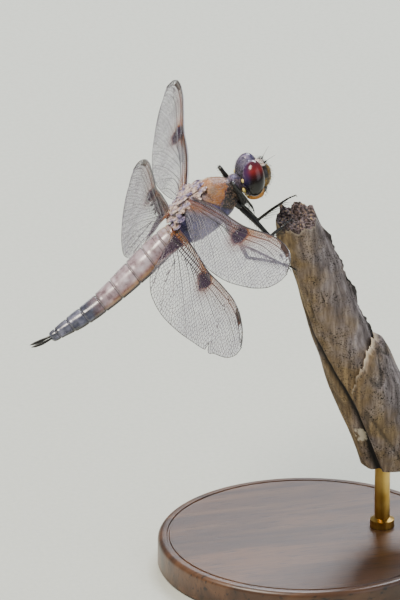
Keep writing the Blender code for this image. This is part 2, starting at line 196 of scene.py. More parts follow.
# %% [markdown]
# ## Helpers for shape
# Most of the body is a closed horny shell whose outline is known as a formula. A grid
# primitive with the faces wanted is added, and each point is moved to its place on the form,
# as if the grid were wrapped round it; the seam and the poles are then welded. That keeps one
# smooth shell with even faces, which pushing and pulling a ball by hand would not. Masks for
# the material (where a seam, a spot or a stripe lies) are kept on the points as attributes.


# %% Curves and soft steps
def smooth(points, x):
    """Smooth monotone curve through a few (x, y) points."""
    pts = sorted(points)
    n = len(pts)
    step = [pts[i + 1][0] - pts[i][0] for i in range(n - 1)]
    rise = [(pts[i + 1][1] - pts[i][1]) / step[i] for i in range(n - 1)]
    slope = [rise[0]] + [0.0] * (n - 2) + [rise[-1]]
    for i in range(1, n - 1):
        if rise[i - 1] * rise[i] > 0:
            slope[i] = 2 / (1 / rise[i - 1] + 1 / rise[i])
    x = min(max(x, pts[0][0]), pts[-1][0])
    i = max(j for j in range(n - 1) if pts[j][0] <= x)
    t = (x - pts[i][0]) / step[i]
    return ((1 + 2 * t) * (1 - t) ** 2 * pts[i][1] + t * (1 - t) ** 2 * step[i] * slope[i]
            + t * t * (3 - 2 * t) * pts[i + 1][1] + t * t * (t - 1) * step[i] * slope[i + 1])


def column(table, k, x):
    """The kth column of a table at x, smoothly between its rows."""
    return smooth([(row[0], row[k]) for row in table], x)


def hill(x, centre, width):
    """1 at the centre, falling to nearly nothing a width away."""
    return math.exp(-((x - centre) / (0.6 * width)) ** 2)


def step_up(x, low, high):
    t = min(max((x - low) / (high - low), 0), 1)
    return t * t * (3 - 2 * t)


# %% Wrap a grid round a form
def wrap_grid(name, around, along, form, masks=()):
    """form(u, v) gives a point, or a point and its mask values; u goes round, v goes along."""
    clear_selection()
    bpy.ops.mesh.primitive_grid_add(x_subdivisions=around, y_subdivisions=along, size=1)
    obj = bpy.context.object
    obj.name = obj.data.name = name
    values = []
    for vert in obj.data.vertices:
        made = form(vert.co.x + 0.5, vert.co.y + 0.5)
        vert.co, *given = made if masks else (made,)
        values.append(given)
    for mask, store in zip(masks, zip(*values)):
        obj.data.attributes.new(mask, "FLOAT", "POINT").data.foreach_set("value", store)
    bpy.ops.object.mode_set(mode="EDIT")
    bpy.ops.mesh.select_all(action="SELECT")
    bpy.ops.mesh.remove_doubles(threshold=1e-6)
    bpy.ops.mesh.fill_holes(sides=0)
    bpy.ops.mesh.normals_make_consistent(inside=False)
    bpy.ops.object.mode_set(mode="OBJECT")
    bpy.ops.object.shade_smooth()
    return obj


def round_way(u, v):
    """Unit direction of a ball from two numbers between 0 and 1."""
    lon, lat = 2 * math.pi * u, math.pi * (v - 0.5)
    return Vector((math.cos(lat) * math.cos(lon), math.cos(lat) * math.sin(lon), math.sin(lat)))


def join(name, pieces):
    """Several finished meshes made one piece."""
    clear_selection()
    for piece in pieces:
        piece.select_set(True)
    bpy.context.view_layer.objects.active = pieces[0]
    bpy.ops.object.join()
    pieces[0].name = pieces[0].data.name = name
    return pieces[0]


# %% [markdown]
# ## Helpers for thin things
# Veins, hairs and bristles are thousands of thin rods, too many and too small for a primitive
# each, so one function writes many tapering closed rods into a single mesh. Each rod may carry
# values for the material. A rod of the coat also keeps the place of its root on the unwrapped
# skin, as a patch three thousandths across in its UV map, so that a hair takes one colour.

# %% Many rods in one mesh
UV_PATCH = 0.0015


def rod_mesh(name, rods, sides=3, masks=(), roots=None):
    """rods holds (points, radii, one value per mask or a value per point)."""
    verts, faces, values, owner = [], [], [[] for _ in masks], []
    circle = [(math.cos(2 * math.pi * k / sides), math.sin(2 * math.pi * k / sides)) for k in range(sides)]
    for r, (points, radii, *given) in enumerate(rods):
        start, rings = len(verts), len(points)
        tangent = (points[1] - points[0]).normalized()
        side = tangent.orthogonal().normalized()
        for i, at in enumerate(points):
            ahead = points[min(i + 1, rings - 1)] - points[max(i - 1, 0)]
            side = (tangent.rotation_difference(ahead) @ side).normalized()
            tangent = ahead.normalized()
            other = tangent.cross(side)
            verts += [at + radii[i] * (c * side + s * other) for c, s in circle]
            for store, value in zip(values, given):
                store += [value[i] if isinstance(value, list) else value] * sides
        for j in range(start, start + (rings - 1) * sides, sides):
            for k in range(sides):
                a, b = j + k, j + (k + 1) % sides
                faces.append((a, b, b + sides, a + sides))
        faces.append(tuple(reversed(range(start, start + sides))))
        faces.append(tuple(range(len(verts) - sides, len(verts))))
        owner += [r] * ((rings - 1) * sides + 2)
    mesh = bpy.data.meshes.new(name)
    mesh.from_pydata(verts, [], faces)
    for layer, store in zip(masks, values):
        mesh.attributes.new(layer, "FLOAT", "POINT").data.foreach_set("value", store)
    if roots:
        flat = []
        for face in mesh.polygons:
            u, v = roots[owner[face.index]]
            for k in range(face.loop_total):
                a = 2 * math.pi * k / face.loop_total
                flat += [u + UV_PATCH * math.cos(a), v + UV_PATCH * math.sin(a)]
        mesh.uv_layers.new(name="OFBake").data.foreach_set("uv", flat)
    mesh.polygons.foreach_set("use_smooth", [True] * len(mesh.polygons))
    obj = bpy.data.objects.new(name, mesh)
    bpy.context.scene.collection.objects.link(obj)
    return obj


def dress(obj, mat, slot, *nodes):
    """Give a piece its finish and the solids that it stands for; the slot is not used."""
    obj.data.materials.clear()
    obj.data.materials.append(mat)
    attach(obj, "root")
    if nodes:
        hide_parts(*nodes)
    print(obj.name, len(obj.data.polygons), "faces")

# %% [markdown]
# ## Wings
# A wing is a film a few thousandths of a millimetre thick, held by a net of hollow veins. The
# stout front veins are pleated like a paper fan and stiffen the edge as far as a notch, the
# nodus; past it a dark thickened cell, the stigma, weights the tip. Behind run long fans of
# veins with cells of a third of a square millimetre between them. The film is a thin closed
# plate here, 0.03 mm thick so that its two faces stay apart, and the net is rods laid on it.

# %% Wing outlines and poses
FORE_LEAD = ((0, 0), (5, 0.65), (10, 0.9), (18.5, 0.4), (26, 0.55), (30, 0), (33, -1.1), (35, -2.7),
             (36, -4.8))
FORE_TRAIL = ((0, -2.1), (1.2, -3.0), (3.5, -4.0), (7, -5.3), (12, -6.9), (18, -8.0), (24, -8.45),
              (29, -8.35), (33, -7.8), (35.3, -6.4), (36, -4.9))
HIND_LEAD = ((0, 0), (4, 0.4), (9, 0.5), (14.5, 0.2), (20, 0.4), (25, 0.25), (29, -0.5), (32, -1.9),
             (34, -3.7), (34.5, -5.1))
HIND_TRAIL = ((0, -3.0), (0.5, -6.5), (2, -8.7), (5, -10.1), (9, -10.5), (14, -10.2), (20, -9.5),
              (26, -8.8), (30.5, -8.0), (33.5, -6.6), (34.5, -5.2))
# hinge x, hinge z, sweep, sweep gained to the tip, droop, droop gained, front edge up, gained
WING_POSE = {
    "forewing_left": (0.6, 0.15, 14.0, 9.0, 3.5, -10.0, 11.0, 20.0),
    "forewing_right": (0.6, 0.55, 5.0, 17.5, 1.0, -1.0, 21.0, -10.0),
    "hindwing_left": (-3.3, -0.7, -2.4, 17.0, 12.5, -7.5, 18.0, 14.0),
    "hindwing_right": (-4.0, -1.9, -4.4, 11.5, 12.0, -17.0, 20.0, 16.0),
}
# long veins, as (span, share of the way from the front edge to the back edge)
FORE_VEINS = {
    "subcosta": ((0, 0.22), (3, 0.13), (9, 0.085), (15, 0.07), (18.5, 0.0)),
    "radius": ((0, 0.36), (3, 0.22), (9, 0.16), (18.5, 0.115), (26, 0.105), (30, 0.115), (33.6, 0.16),
               (35.7, 0.42)),
    "first": ((4.2, 0.30), (10, 0.245), (18.5, 0.2), (24, 0.21), (29, 0.27), (33, 0.42), (35.7, 0.78)),
    "second": ((14, 0.235), (19, 0.29), (24, 0.42), (28, 0.6), (31.5, 0.82), (33.2, 1.0)),
    "between": ((11, 0.245), (15, 0.33), (20, 0.48), (25, 0.74), (28.3, 1.0)),
    "third": ((8.5, 0.27), (13, 0.4), (17.5, 0.58), (21, 0.8), (23.4, 1.0)),
    "middle": ((4.2, 0.34), (8, 0.47), (12.5, 0.62), (16.5, 0.82), (19.2, 1.0)),
    "elbow": ((7.4, 0.55), (9.5, 0.72), (12, 0.88), (13.8, 1.0)),
    "root": ((0, 0.5), (3.5, 0.46), (6, 0.5), (7.4, 0.55)),
    "heel": ((0, 0.72), (3, 0.74), (6, 0.82), (8.6, 1.0)),
}
HIND_VEINS = {
    "subcosta": ((0, 0.16), (3, 0.1), (8, 0.07), (12, 0.055), (14.5, 0.0)),
    "radius": ((0, 0.26), (3, 0.165), (8, 0.125), (14.5, 0.09), (22, 0.1), (28, 0.13), (31.8, 0.2),
               (34, 0.45)),
    "first": ((3.4, 0.21), (8, 0.18), (14.5, 0.16), (20, 0.19), (26, 0.27), (31, 0.47), (34, 0.82)),
    "second": ((11, 0.175), (16, 0.26), (21, 0.4), (26, 0.62), (29.5, 0.86), (31.2, 1.0)),
    "between": ((8.5, 0.18), (13, 0.29), (18, 0.46), (23, 0.74), (26.5, 1.0)),
    "third": ((6.5, 0.19), (11, 0.34), (16, 0.58), (19.5, 0.82), (21.8, 1.0)),
    "middle": ((3.4, 0.23), (6.5, 0.34), (11, 0.52), (15, 0.78), (17.6, 1.0)),
    "elbow": ((4.6, 0.36), (7, 0.5), (10, 0.74), (12.2, 1.0)),
    "bow": ((4.6, 0.36), (4.4, 0.5), (5.6, 0.68), (7.4, 0.86), (8.2, 1.0)),
    "root": ((0, 0.36), (2.5, 0.33), (4.6, 0.36)),
    "heel": ((0.2, 0.5), (1.6, 0.62), (2.8, 0.8), (3.4, 1.0)),
}


# the right hindwing has a small tear in its back edge
TORN_TRAIL = HIND_TRAIL[:7] + ((23.8, -9.05), (24.3, -7.45), (24.75, -9.05), (25.4, -9.15)) + HIND_TRAIL[7:]


def wing_shape(name):
    """Outline, length, place of the nodus and of the stigma, reach of the amber root, long veins."""
    if name.startswith("fore"):
        return FORE_LEAD, FORE_TRAIL, 36.0, 18.5, 30.4, 7.0, FORE_VEINS
    trail = TORN_TRAIL if name == "hindwing_right" else HIND_TRAIL
    return HIND_LEAD, trail, 34.5, 14.5, 28.4, 4.5, HIND_VEINS


print("wing lengths mm", {name: wing_shape(name)[2] for name in WING_POSE})


def edges(name, span):
    lead, trail = wing_shape(name)[:2]
    return smooth(lead, span), smooth(trail, span)


def pleat(share, span):
    """Pleats and camber of the film, in mm off the wing's plane."""
    fan = 0.15 * math.cos(2 * math.pi * share / 0.2) * math.exp(-share / 0.2)
    ripple = 0.06 * math.sin(10 * share + 0.2 * span) * step_up(share, 0.15, 0.5)
    return (fan + ripple + 0.2 * math.sin(math.pi * share)) * step_up(span, -0.5, 3)


def wing_point(name, span, share, lift=0.0):
    """World point on a wing's pleated plane at a span and share, raised by `lift`."""
    hinge_x, hinge_z, *angles = WING_POSE[name]
    sweep, sweep_gain, droop, droop_gain, edge_up, edge_gain = [math.radians(a) for a in angles]
    t = span / wing_shape(name)[2]
    swept, dropped = sweep + sweep_gain * t / 2, droop + droop_gain * t / 2
    here, risen = sweep + sweep_gain * t, edge_up + edge_gain * t
    along = Vector((math.sin(swept), math.cos(swept) * math.cos(droop), -math.sin(dropped))) * span
    forward = Vector((math.cos(here) * math.cos(risen), -math.sin(here) * math.cos(risen), math.sin(risen)))
    normal = Vector((-math.cos(here) * math.sin(risen), math.sin(here) * math.sin(risen), math.cos(risen)))
    front, rear = edges(name, span)
    chord, lift = front - share * (front - rear), pleat(share, span) + lift
    p = Vector((hinge_x, 2.0, hinge_z)) + along + chord * forward + lift * normal
    return body(p.x, p.y if name.endswith("left") else -p.y, p.z)


# %% [markdown]
# The film's masks are worked out from the wing's own span and chord: amber along the front
# veins, the dark nodus and hindwing base, a whitish painted sheen on the right forewing's front
# edge, and a film that clears towards the root. The cells come from points sown in rows between
# the long veins. Each wall runs between the centres of neighbouring triangles of points, which
# gives the six-sided cells of a real wing, and walls stop at the long veins.


# %% Film of one wing
def away(x, centre, width, power=2):
    """How many widths x lies from the centre, to a power."""
    return ((x - centre) / width) ** power


def blotch(span, behind, name):
    """Dark, amber, painted sheen and veil strength at a span and mm behind the front edge."""
    _, _, _, nodus, stigma, root, _ = wing_shape(name)
    dark = 1.15 * math.exp(-away(span, nodus + 0.3, 2.3) - away(behind, 1.5, 1.75))
    dark += 0.55 * math.exp(-away(span, stigma + 1.8, 1.6) - away(behind, 1.6, 0.6))
    amber = 0.7 * math.exp(-away(behind, 0, 1.1)) * (1 - 0.7 * step_up(span, nodus - 2, nodus + 4))
    amber += 0.9 * math.exp(-away(span, 0, root)) * (1 - step_up(behind, 1.5, 3.0))
    amber += 0.48 * math.exp(-away(span, stigma - 4.5, 6.5, 4) - away(behind, 0, 3.4))
    amber += 0.8 * math.exp(-away(span, nodus + 0.2, 3.4) - away(behind, 1.5, 2.5))
    if name.startswith("hind"):
        reach = 5.4 - 0.6 * behind
        patch = (1 - step_up(span, reach - 1.6, reach + 0.5)) * step_up(span, 0.1, 0.7)
        patch *= step_up(behind, 0.8, 1.3) * (1 - step_up(behind, 5.8, 7.2))
        dark, amber = dark + patch, max(amber, 0.85 * patch)
    # a painted whitish sheen along the right forewing's front edge, as far as the nodus
    frost = (name == "forewing_right") * math.exp(-away(behind, 0, 0.95))
    frost *= 1 - step_up(span, nodus - 1, nodus + 1.5)
    return min(dark, 1), min(amber, 1), frost, 0.3 + 0.7 * step_up(span, 4, 13)


# half the film's thickness, mm
FILM_HALF = 0.015
FILM_MASKS = ("dark", "amber", "frost", "veil")


def film(name):
    def form(u, v):
        span = -0.5 + (wing_shape(name)[2] + 0.46) * math.sin(0.5 * math.pi * v) ** 0.9
        share, over = (2 * u, 1) if u < 0.5 else (2 - 2 * u, -1)
        front, rear = edges(name, span)
        edge = min(share, 1 - share, 0.02) / 0.02
        spot = wing_point(name, span, share, over * FILM_HALF * (0.2 + 0.8 * edge))
        return spot, *blotch(span, share * (front - rear), name)
    return wrap_grid(name + "_film", 64, 120, form, masks=FILM_MASKS)


# %% Sow the cells
# distance between rows and between seeds, mm
CELL = 0.62


def sow_cells(name):
    """Seed points (span, chord) in rows between the long veins, and outside the edges."""
    length, veins = wing_shape(name)[2], wing_shape(name)[-1]
    seeds, outside, span = [], [], 0.25
    while span < length - 0.15:
        front, rear = edges(name, span)
        lines = sorted([0.0, 1.0] + [smooth(v, span) for v in veins.values() if v[0][0] < span < v[-1][0]])
        for a, b in zip(lines, lines[1:]):
            gap = (b - a) * (front - rear)
            if gap < 0.2:
                continue
            rows = max(round(gap / CELL), 1)
            for k in range(rows):
                share = a + (b - a) * (k + 0.5 + rng.uniform(-0.13, 0.13)) / rows
                stagger = (0.5 * CELL if k % 2 else 0) + rng.uniform(-0.13, 0.13) * CELL
                seeds.append((span + stagger, front - share * (front - rear)))
        outside += [(span, front + 0.35), (span, rear - 0.35)]
        span += CELL
    outside += [(-0.35, edges(name, 0)[0] - 0.6 * k) for k in range(8)]
    outside += [(length + 0.4, edges(name, length)[0] + 0.5 - 0.4 * k) for k in range(4)]
    return seeds, outside


def circle_centre(a, b, c):
    """Centre of the circle through three points, or None if they are in line."""
    d = 2 * (a[0] * (b[1] - c[1]) + b[0] * (c[1] - a[1]) + c[0] * (a[1] - b[1]))
    if abs(d) < 1e-9:
        return None
    sq = [p[0] ** 2 + p[1] ** 2 for p in (a, b, c)]
    return ((sq[0] * (b[1] - c[1]) + sq[1] * (c[1] - a[1]) + sq[2] * (a[1] - b[1])) / d,
            (sq[0] * (c[0] - b[0]) + sq[1] * (a[0] - c[0]) + sq[2] * (b[0] - a[0])) / d)


def vein_between(name, p, q):
    """The long vein that passes between two seeds, or None."""
    span = (p[0] + q[0]) / 2
    front, rear = edges(name, span)
    low, high = sorted((front - c) / (front - rear) for c in (p[1], q[1]))
    for vein in wing_shape(name)[-1].values():
        if vein[0][0] < span < vein[-1][0] and low < smooth(vein, span) < high:
            return vein
    return None


# %% Net of veins of one wing
# half thicknesses in mm, two to three times a real wing's so that the veins show
EDGE_ROOT, EDGE_TIP, EDGE_REAR, PLAIN_VEIN, CROSS_VEIN, WALL = 0.17, 0.1, 0.06, 0.075, 0.1, 0.043
GIRTH = {"subcosta": 0.11, "radius": 0.15, "first": 0.1, "root": 0.14, "heel": 0.1, "middle": 0.09}


def cell_corner(name, corners, real):
    """Where the walls between three seeds meet, as (span, share), held inside the wing."""
    spot = circle_centre(*corners)
    if spot is None or not any(real):
        return None
    length = wing_shape(name)[2]
    span = min(max(spot[0], 0.0), length - 0.03)
    front, rear = edges(name, span)
    share = min(max((front - spot[1]) / (front - rear), 0), 1)
    for i in range(3):
        j = (i + 1) % 3
        vein = vein_between(name, corners[i], corners[j]) if real[i] and real[j] else None
        if vein and vein[0][0] < span < vein[-1][0]:
            share = smooth(vein, span)
    if not all(real) and 0.4 <= span <= length - 0.4:
        outer = [p for p, inside in zip(corners, real) if not inside]
        ahead = sum(p[1] > (front + rear) / 2 for p in outer)
        share = 0.0 if ahead > 0.5 * len(outer) else 1.0
    return span, share


def net(name):
    _, _, length, nodus, _, _, veins = wing_shape(name)

    def tint(span, share):
        """Amber of a vein; a value below nothing gives the vein a painted pale-grey reflection."""
        front, rear = edges(name, span)
        dark, amber = blotch(span, share * (front - rear), name)[:2]
        return amber * (1 - 0.9 * dark)

    rods = []

    def lay(spots, radii, tints):
        rods.append(([wing_point(name, *p) for p in spots], [MM * r for r in radii], tints))

    edge = [(length * k / 70, 0.0) for k in range(71)] + [(length - 0.02 * k, k / 6) for k in range(1, 6)]
    edge += [(length * (1 - k / 70), 1.0) for k in range(71)]
    lay(edge, [EDGE_ROOT - (EDGE_ROOT - EDGE_TIP) * s / length if p < 0.5 else EDGE_REAR for s, p in edge],
        [0.4 * tint(*p) * (p[1] < 0.5) for p in edge])
    for key, vein in veins.items():
        first, last = vein[0][0], vein[-1][0]
        count = max(6, int((last - first) / 0.6))
        spans = [first + (last - first) * k / count for k in range(count + 1)]
        spots = [(s, smooth(vein, s)) for s in spans]
        if first < 0.5:
            # a vein of the root starts inside the thorax
            spots = [(-1.3, spots[0][1] * 0.6 + 0.1), (-0.6, spots[0][1] * 0.8 + 0.05)] + spots
            count += 2
        # behind the front of the wing the long veins take the painted pale-grey reflection
        lay(spots, [GIRTH.get(key, PLAIN_VEIN) * (1 - 0.5 * k / count) for k in range(count + 1)],
            [tint(*p) - 0.7 * step_up(p[1], 0.3, 0.6) for p in spots])
    seeds, outside = sow_cells(name)
    points, _, triangles, origins, *_ = geometry.delaunay_2d_cdt(
        [Vector(p) for p in seeds + outside], [], [], 0, 1e-6)
    real = [bool(origin) and min(origin) < len(seeds) for origin in origins]
    corners, by_edge = [], {}
    for t, tri in enumerate(triangles):
        corners.append(cell_corner(name, [tuple(points[i]) for i in tri], [real[i] for i in tri]))
        if corners[-1]:
            for i in range(3):
                by_edge.setdefault(tuple(sorted((tri[i], tri[(i + 1) % 3]))), []).append(t)
    long_veins = len(rods)
    for (p, q), tris in by_edge.items():
        if len(tris) != 2 or not (real[p] and real[q]) or vein_between(name, points[p], points[q]):
            continue
        a, b = corners[tris[0]], corners[tris[1]]
        gap = (wing_point(name, *a) - wing_point(name, *b)).length
        if abs(a[0] - b[0]) < 3 and 0.00006 < gap < 0.0028:
            size = CROSS_VEIN if max(a[1], b[1]) < 0.25 and a[0] < nodus else WALL
            # cell walls take the painted pale-grey reflection, more of it further back
            lay((a, b), (size, size), -step_up(a[1], 0.15, 0.45))
    print(name, "cells", len(seeds), "walls", len(rods) - long_veins)
    return rod_mesh(name + "_veins", rods, masks=("amber",))


# %% Stigma of one wing
def stigma(name):
    """The dark thickened cell near the tip, a small swollen plate between the two front veins."""
    _, _, _, _, start, _, veins = wing_shape(name)

    def form(u, v):
        share = 0.5 - 0.5 * math.cos(2 * math.pi * u)
        fat = 0.07 * math.sin(2 * math.pi * u) * math.sin(math.pi * min(max(v, 0.001), 0.999)) ** 0.3
        span = start - 0.1 + 3.2 * v + 0.35 * (share - 0.5)
        part = 0.01 + share * (smooth(veins["radius"], span) - 0.02)
        return wing_point(name, span, part, fat)
    return wrap_grid(name + "_stigma", 16, 20, form)


# %% [markdown]
# ### Wing finish
# The film is cuticle, the same stuff as the body's but nearly clear: mostly see-through with a
# milky cast, very glossy, and turning brown where pigment lies in it. The veins are the same
# cuticle, hard and dark, amber along the front edge and painted pale grey behind, a painted reflection.

# %% Film, vein and stigma materials
# how strongly dry cuticle bends light
CHITIN = 1.56
glass, where, dark, amber, frost, veil = new_material("clear wing cuticle", *FILM_MASKS)
cloud = add(glass, "TexNoise", {"Vector": where, "Scale": 1000.0, "Detail": 4.0, "Roughness": 0.65})
uneven = add(glass, "Math", {0: cloud, 1: -0.5}, operation="ADD")
ragged = add(glass, "Math", {0: uneven, 1: 1.7, 2: dark}, operation="MULTIPLY_ADD")
inside = add(glass, "Math", {0: ragged, 1: dark}, operation="MULTIPLY")
edge = add(glass, "MapRange", {"Value": inside, "From Min": 0.1, "From Max": 0.45})
near = add(glass, "MapRange", {"Value": amber, "From Min": 0.12, "From Max": 0.95})
# painted sheen: the right forewing's front edge is laid pinkish grey and made more opaque
tone = paint(glass, None, "#9c9cb2", (near, "#a5682a"), (frost, "#8f879b"), (edge, "#2e1830"))
patchy = add(glass, "TexNoise", {"Vector": where, "Scale": 260.0})
milk = add(glass, "MapRange", {"Value": patchy, "From Min": 0.3, "From Max": 0.7,
                               "To Min": 0.14, "To Max": 0.3})
opaque = add(glass, "Math", {0: milk, 1: veil}, operation="MULTIPLY")
for mask, strength in ((frost, 0.12), (near, 0.4), (edge, 0.8)):
    opaque = add(glass, "Math", {0: mask, 1: strength, 2: opaque}, operation="MULTIPLY_ADD",
                 use_clamp=mask is edge)
wrinkle = add(glass, "TexNoise", {"Vector": where, "Scale": 1600.0, "Detail": 3.0})
# IOR is above cuticle's, so that so thin a film still glints
close_material(glass, tone, {"Roughness": 0.2, "IOR": 1.9, "Alpha": opaque}, (wrinkle, 0.0003, 0.7))

# hard smooth tubes: a bright line of light runs along each
vein_horn, where, amber = new_material("hard dark vein cuticle", "amber")
mottle = add(vein_horn, "TexNoise", {"Vector": where, "Scale": 700.0})
# values below nothing lay the painted pale-grey reflection on the veins
painted_glint = add(vein_horn, "MapRange", {"Value": amber, "From Min": -0.2, "From Max": -1.0})
share = add(vein_horn, "MapRange", {"Value": amber, "From Min": 0.3, "From Max": 0.7})
tone = paint(vein_horn, mottle, {0.35: "#1b1418", 0.7: "#463a44"},
             (painted_glint, {0.35: "#5d5662", 0.7: "#948d99"}), (share, {0.3: "#3f1610", 0.7: "#8c4824"}))
close_material(vein_horn, tone, {"Roughness": 0.3, "IOR": CHITIN,
                                 "Coat Weight": 1.0, "Coat Roughness": 0.12})

# thick pigmented cuticle: opaque, less polished, faintly wrinkled
dark_cell, where = new_material("thick brown stigma cuticle")
mottle = add(dark_cell, "TexNoise", {"Vector": where, "Scale": 1500.0, "Detail": 4.0})
tone = paint(dark_cell, mottle, {0.3: "#1b1312", 0.7: "#4f3931"})
close_material(dark_cell, tone, {"Roughness": 0.4, "IOR": CHITIN}, (mottle, 0.00003, 1.0))

# %% Make the four wings
for wing in WING_POSE:
    dress(film(wing), glass, "wing", wing)
    dress(net(wing), vein_horn, "wing")
    dress(stigma(wing), dark_cell, "wing")

# %% [markdown]
# ## Thorax
# The thorax is a box of muscle under a horny skin, slanting so that the wings sit far back
# and the legs far forward. Its front slopes are orange-tan and furry with a fine keel between
# them and a greyish painted sheen on each, the sides are blue-violet and crossed by slanting
# dark seams, the parts above the legs are black-brown, and the neck ring is a small collar in
# front. One skin runs over all of it, a quarter of a millimetre inside the solids, so that the
# fur has room to lie on it.

# %% Thorax skin
# along the body: place, top, bottom, half width
TRUNK = ((8.8, -2.5, -3.6, 0.7), (8.2, -1.9, -4.1, 1.3), (7.7, -1.5, -4.4, 1.5), (7.1, -1.25, -4.8, 1.7),
         (6.68, -1.45, -4.7, 1.55), (6.3, -1.1, -4.9, 1.8), (5.6, -0.45, -5.5, 2.4), (4, 0.6, -6.2, 3),
         (2, 1, -6.7, 3.3), (0, 0.8, -6.9, 3.25), (-2, 0.1, -6.8, 3), (-3.4, -0.8, -6.4, 2.6),
         (-4.5, -1.7, -5.7, 2.1))
# room left for the fur, mm, and how far a side seam leans forward per mm downwards
COAT, LEAN_OF_SEAMS = 0.25, 0.65


def power(x, n):
    """x to a power, keeping its sign: a circle's sine and cosine made squarer."""
    return math.copysign(abs(x) ** n, x)


def trunk_ring(u, v):
    x = 8.75 - 13.6 * v
    end = min(min(v, 1 - v) / 0.045, 1)
    top, low, half = (column(TRUNK, k, x) for k in (1, 2, 3))
    c, s = math.cos(2 * math.pi * u), math.sin(2 * math.pi * u)
    shut = math.sqrt(1 - (1 - end) ** 2)
    y = (half - COAT) * shut * power(c, 0.85)
    z = (top + low) / 2 + ((top - low) / 2 - COAT) * shut * power(s, 0.85)
    slant = x + LEAN_OF_SEAMS * z
    seams = 0.8 * hill(z, -3.9, 0.14) * step_up(slant, -2.4, -2.0) * (1 - step_up(slant, 0.9, 1.3))
    if abs(c) > 0.25 and x < 6.4:
        seams += sum(hill(slant, place, 0.16) for place in (1.15, -0.6, -2.6))
    seams += 0.7 * hill(x, 6.75, 0.2)
    keel = hill(y, 0, 0.2) * step_up(x, 2.6, 3.4) * (1 - step_up(x, 6, 6.6)) * (s > 0)
    trough = step_up(s, 0.55, 0.9) * (1 - step_up(x, 2.2, 3.2)) * step_up(x, -4.3, -3.4)
    seams += 0.9 * hill(abs(y), 1.5, 0.22) * trough + 0.8 * hill(x, 2.7, 0.2) * (s > 0.3)
    swell = 0.16 * keel - 0.12 * min(seams, 1) - 0.16 * trough * hill(abs(y), 1.2, 1.4)
    return x, y + swell * c * shut, z + swell * s * shut, seams, keel, slant


def thorax_form(u, v):
    x, y, z, seams, keel, slant = trunk_ring(u, v)
    # above this ragged line the front is tan, below it nearly black
    below = z - 0.57 * x + 4.85 + 0.45 * noise.noise(Vector((1.3 * x, y, 1.3 * z)))
    below += 0.4 * noise.noise(Vector((5 * x, y, 5 * z)))
    front = step_up(slant, 0.95, 1.35) * step_up(below, -0.25, 0.25) * (1 - step_up(x, 6.2, 6.7))
    under = (1 - step_up(below, -0.35, 0.1)) * step_up(slant, 0.5, 1.2) * (1 - step_up(x, 6.2, 6.8))
    under = max(under, 1 - step_up(z, -6.6, -5.6))
    # a greyish painted sheen high on each front slope
    worn = hill(x, 3.6, 1.5) * hill(z, -0.5, 1.2) * front
    top = step_up(z, -1.6, -0.2) * (1 - step_up(x, 2.2, 2.9))
    keel = max(keel, 0.8 * hill(abs(y), 1.1, 0.13) * front * (z > -1.5))
    return body(x, y, z), min(seams, 1), front, under, top, keel, worn


SKIN_MASKS = ("seam", "front", "under", "top", "keel", "worn")
thorax_skin = wrap_grid("thorax_skin", 120, 150, thorax_form, masks=SKIN_MASKS)

# %% Neck, side and back finish
# dry cuticle is half matt: broad soft lights, blotched pigment and fine pits
horn, where, seam, front, under, top, keel, worn = new_material(
    "matt tan and violet thorax cuticle", *SKIN_MASKS)
blot = add(horn, "TexNoise", {"Vector": where, "Scale": 900.0, "Detail": 4.0})
pore = add(horn, "TexVoronoi", {"Vector": where, "Scale": 6500.0})
# the greyish painted sheen laid over the tan front
sheen_patch = add(horn, "Math", {0: worn, 1: 0.85}, operation="MULTIPLY")
ridge = add(horn, "Math", {0: keel, 1: 0.75}, operation="MULTIPLY")
tan = paint(horn, blot, {0.3: "#7d441a", 0.55: "#ad6c2c", 0.75: "#c99250"}, (sheen_patch, "#85745f"))
tone = paint(horn, blot, {0.3: "#161333", 0.5: "#332e62", 0.7: "#635d94"}, (front, tan),
             (top, {0.3: "#33262c", 0.5: "#6c5a64", 0.7: "#9f8a90"}), (under, "#120b09"),
             (ridge, "#4e2214"), (seam, "#1f1410"))
close_material(horn, tone, {"Roughness": 0.42, "IOR": CHITIN, "Sheen Weight": 0.25, "Sheen Roughness": 0.5},
               (pore, 0.00003, 0.5))
dress(thorax_skin, horn, "thorax", "thorax", "prothorax")

# %% [markdown]
# Between the wings the back is a row of small hard plates, the sclerites, that work the wing
# hinges. They are swollen, cream or grey-violet and glossy, with soft skin between them. Each
# is a stretched ball sunk in the trough, dented a little by noise, and all are one piece.

# %% Plates between the wings
PLATE_STRETCH = Vector((1.35, 1.05, 0.45))


def plate_form(at, radii, seed):
    def form(u, v):
        unit = round_way(u, v)
        dent = 1 + 0.3 * noise.noise(unit * 1.5 + Vector((seed, 0, 0)))
        dent += 0.12 * noise.noise(unit * 3.5 + Vector((seed, 9, 0)))
        return body(*(Vector(at) + Vector(radii) * PLATE_STRETCH * unit * dent)), (seed * 0.61) % 1.0
    return form


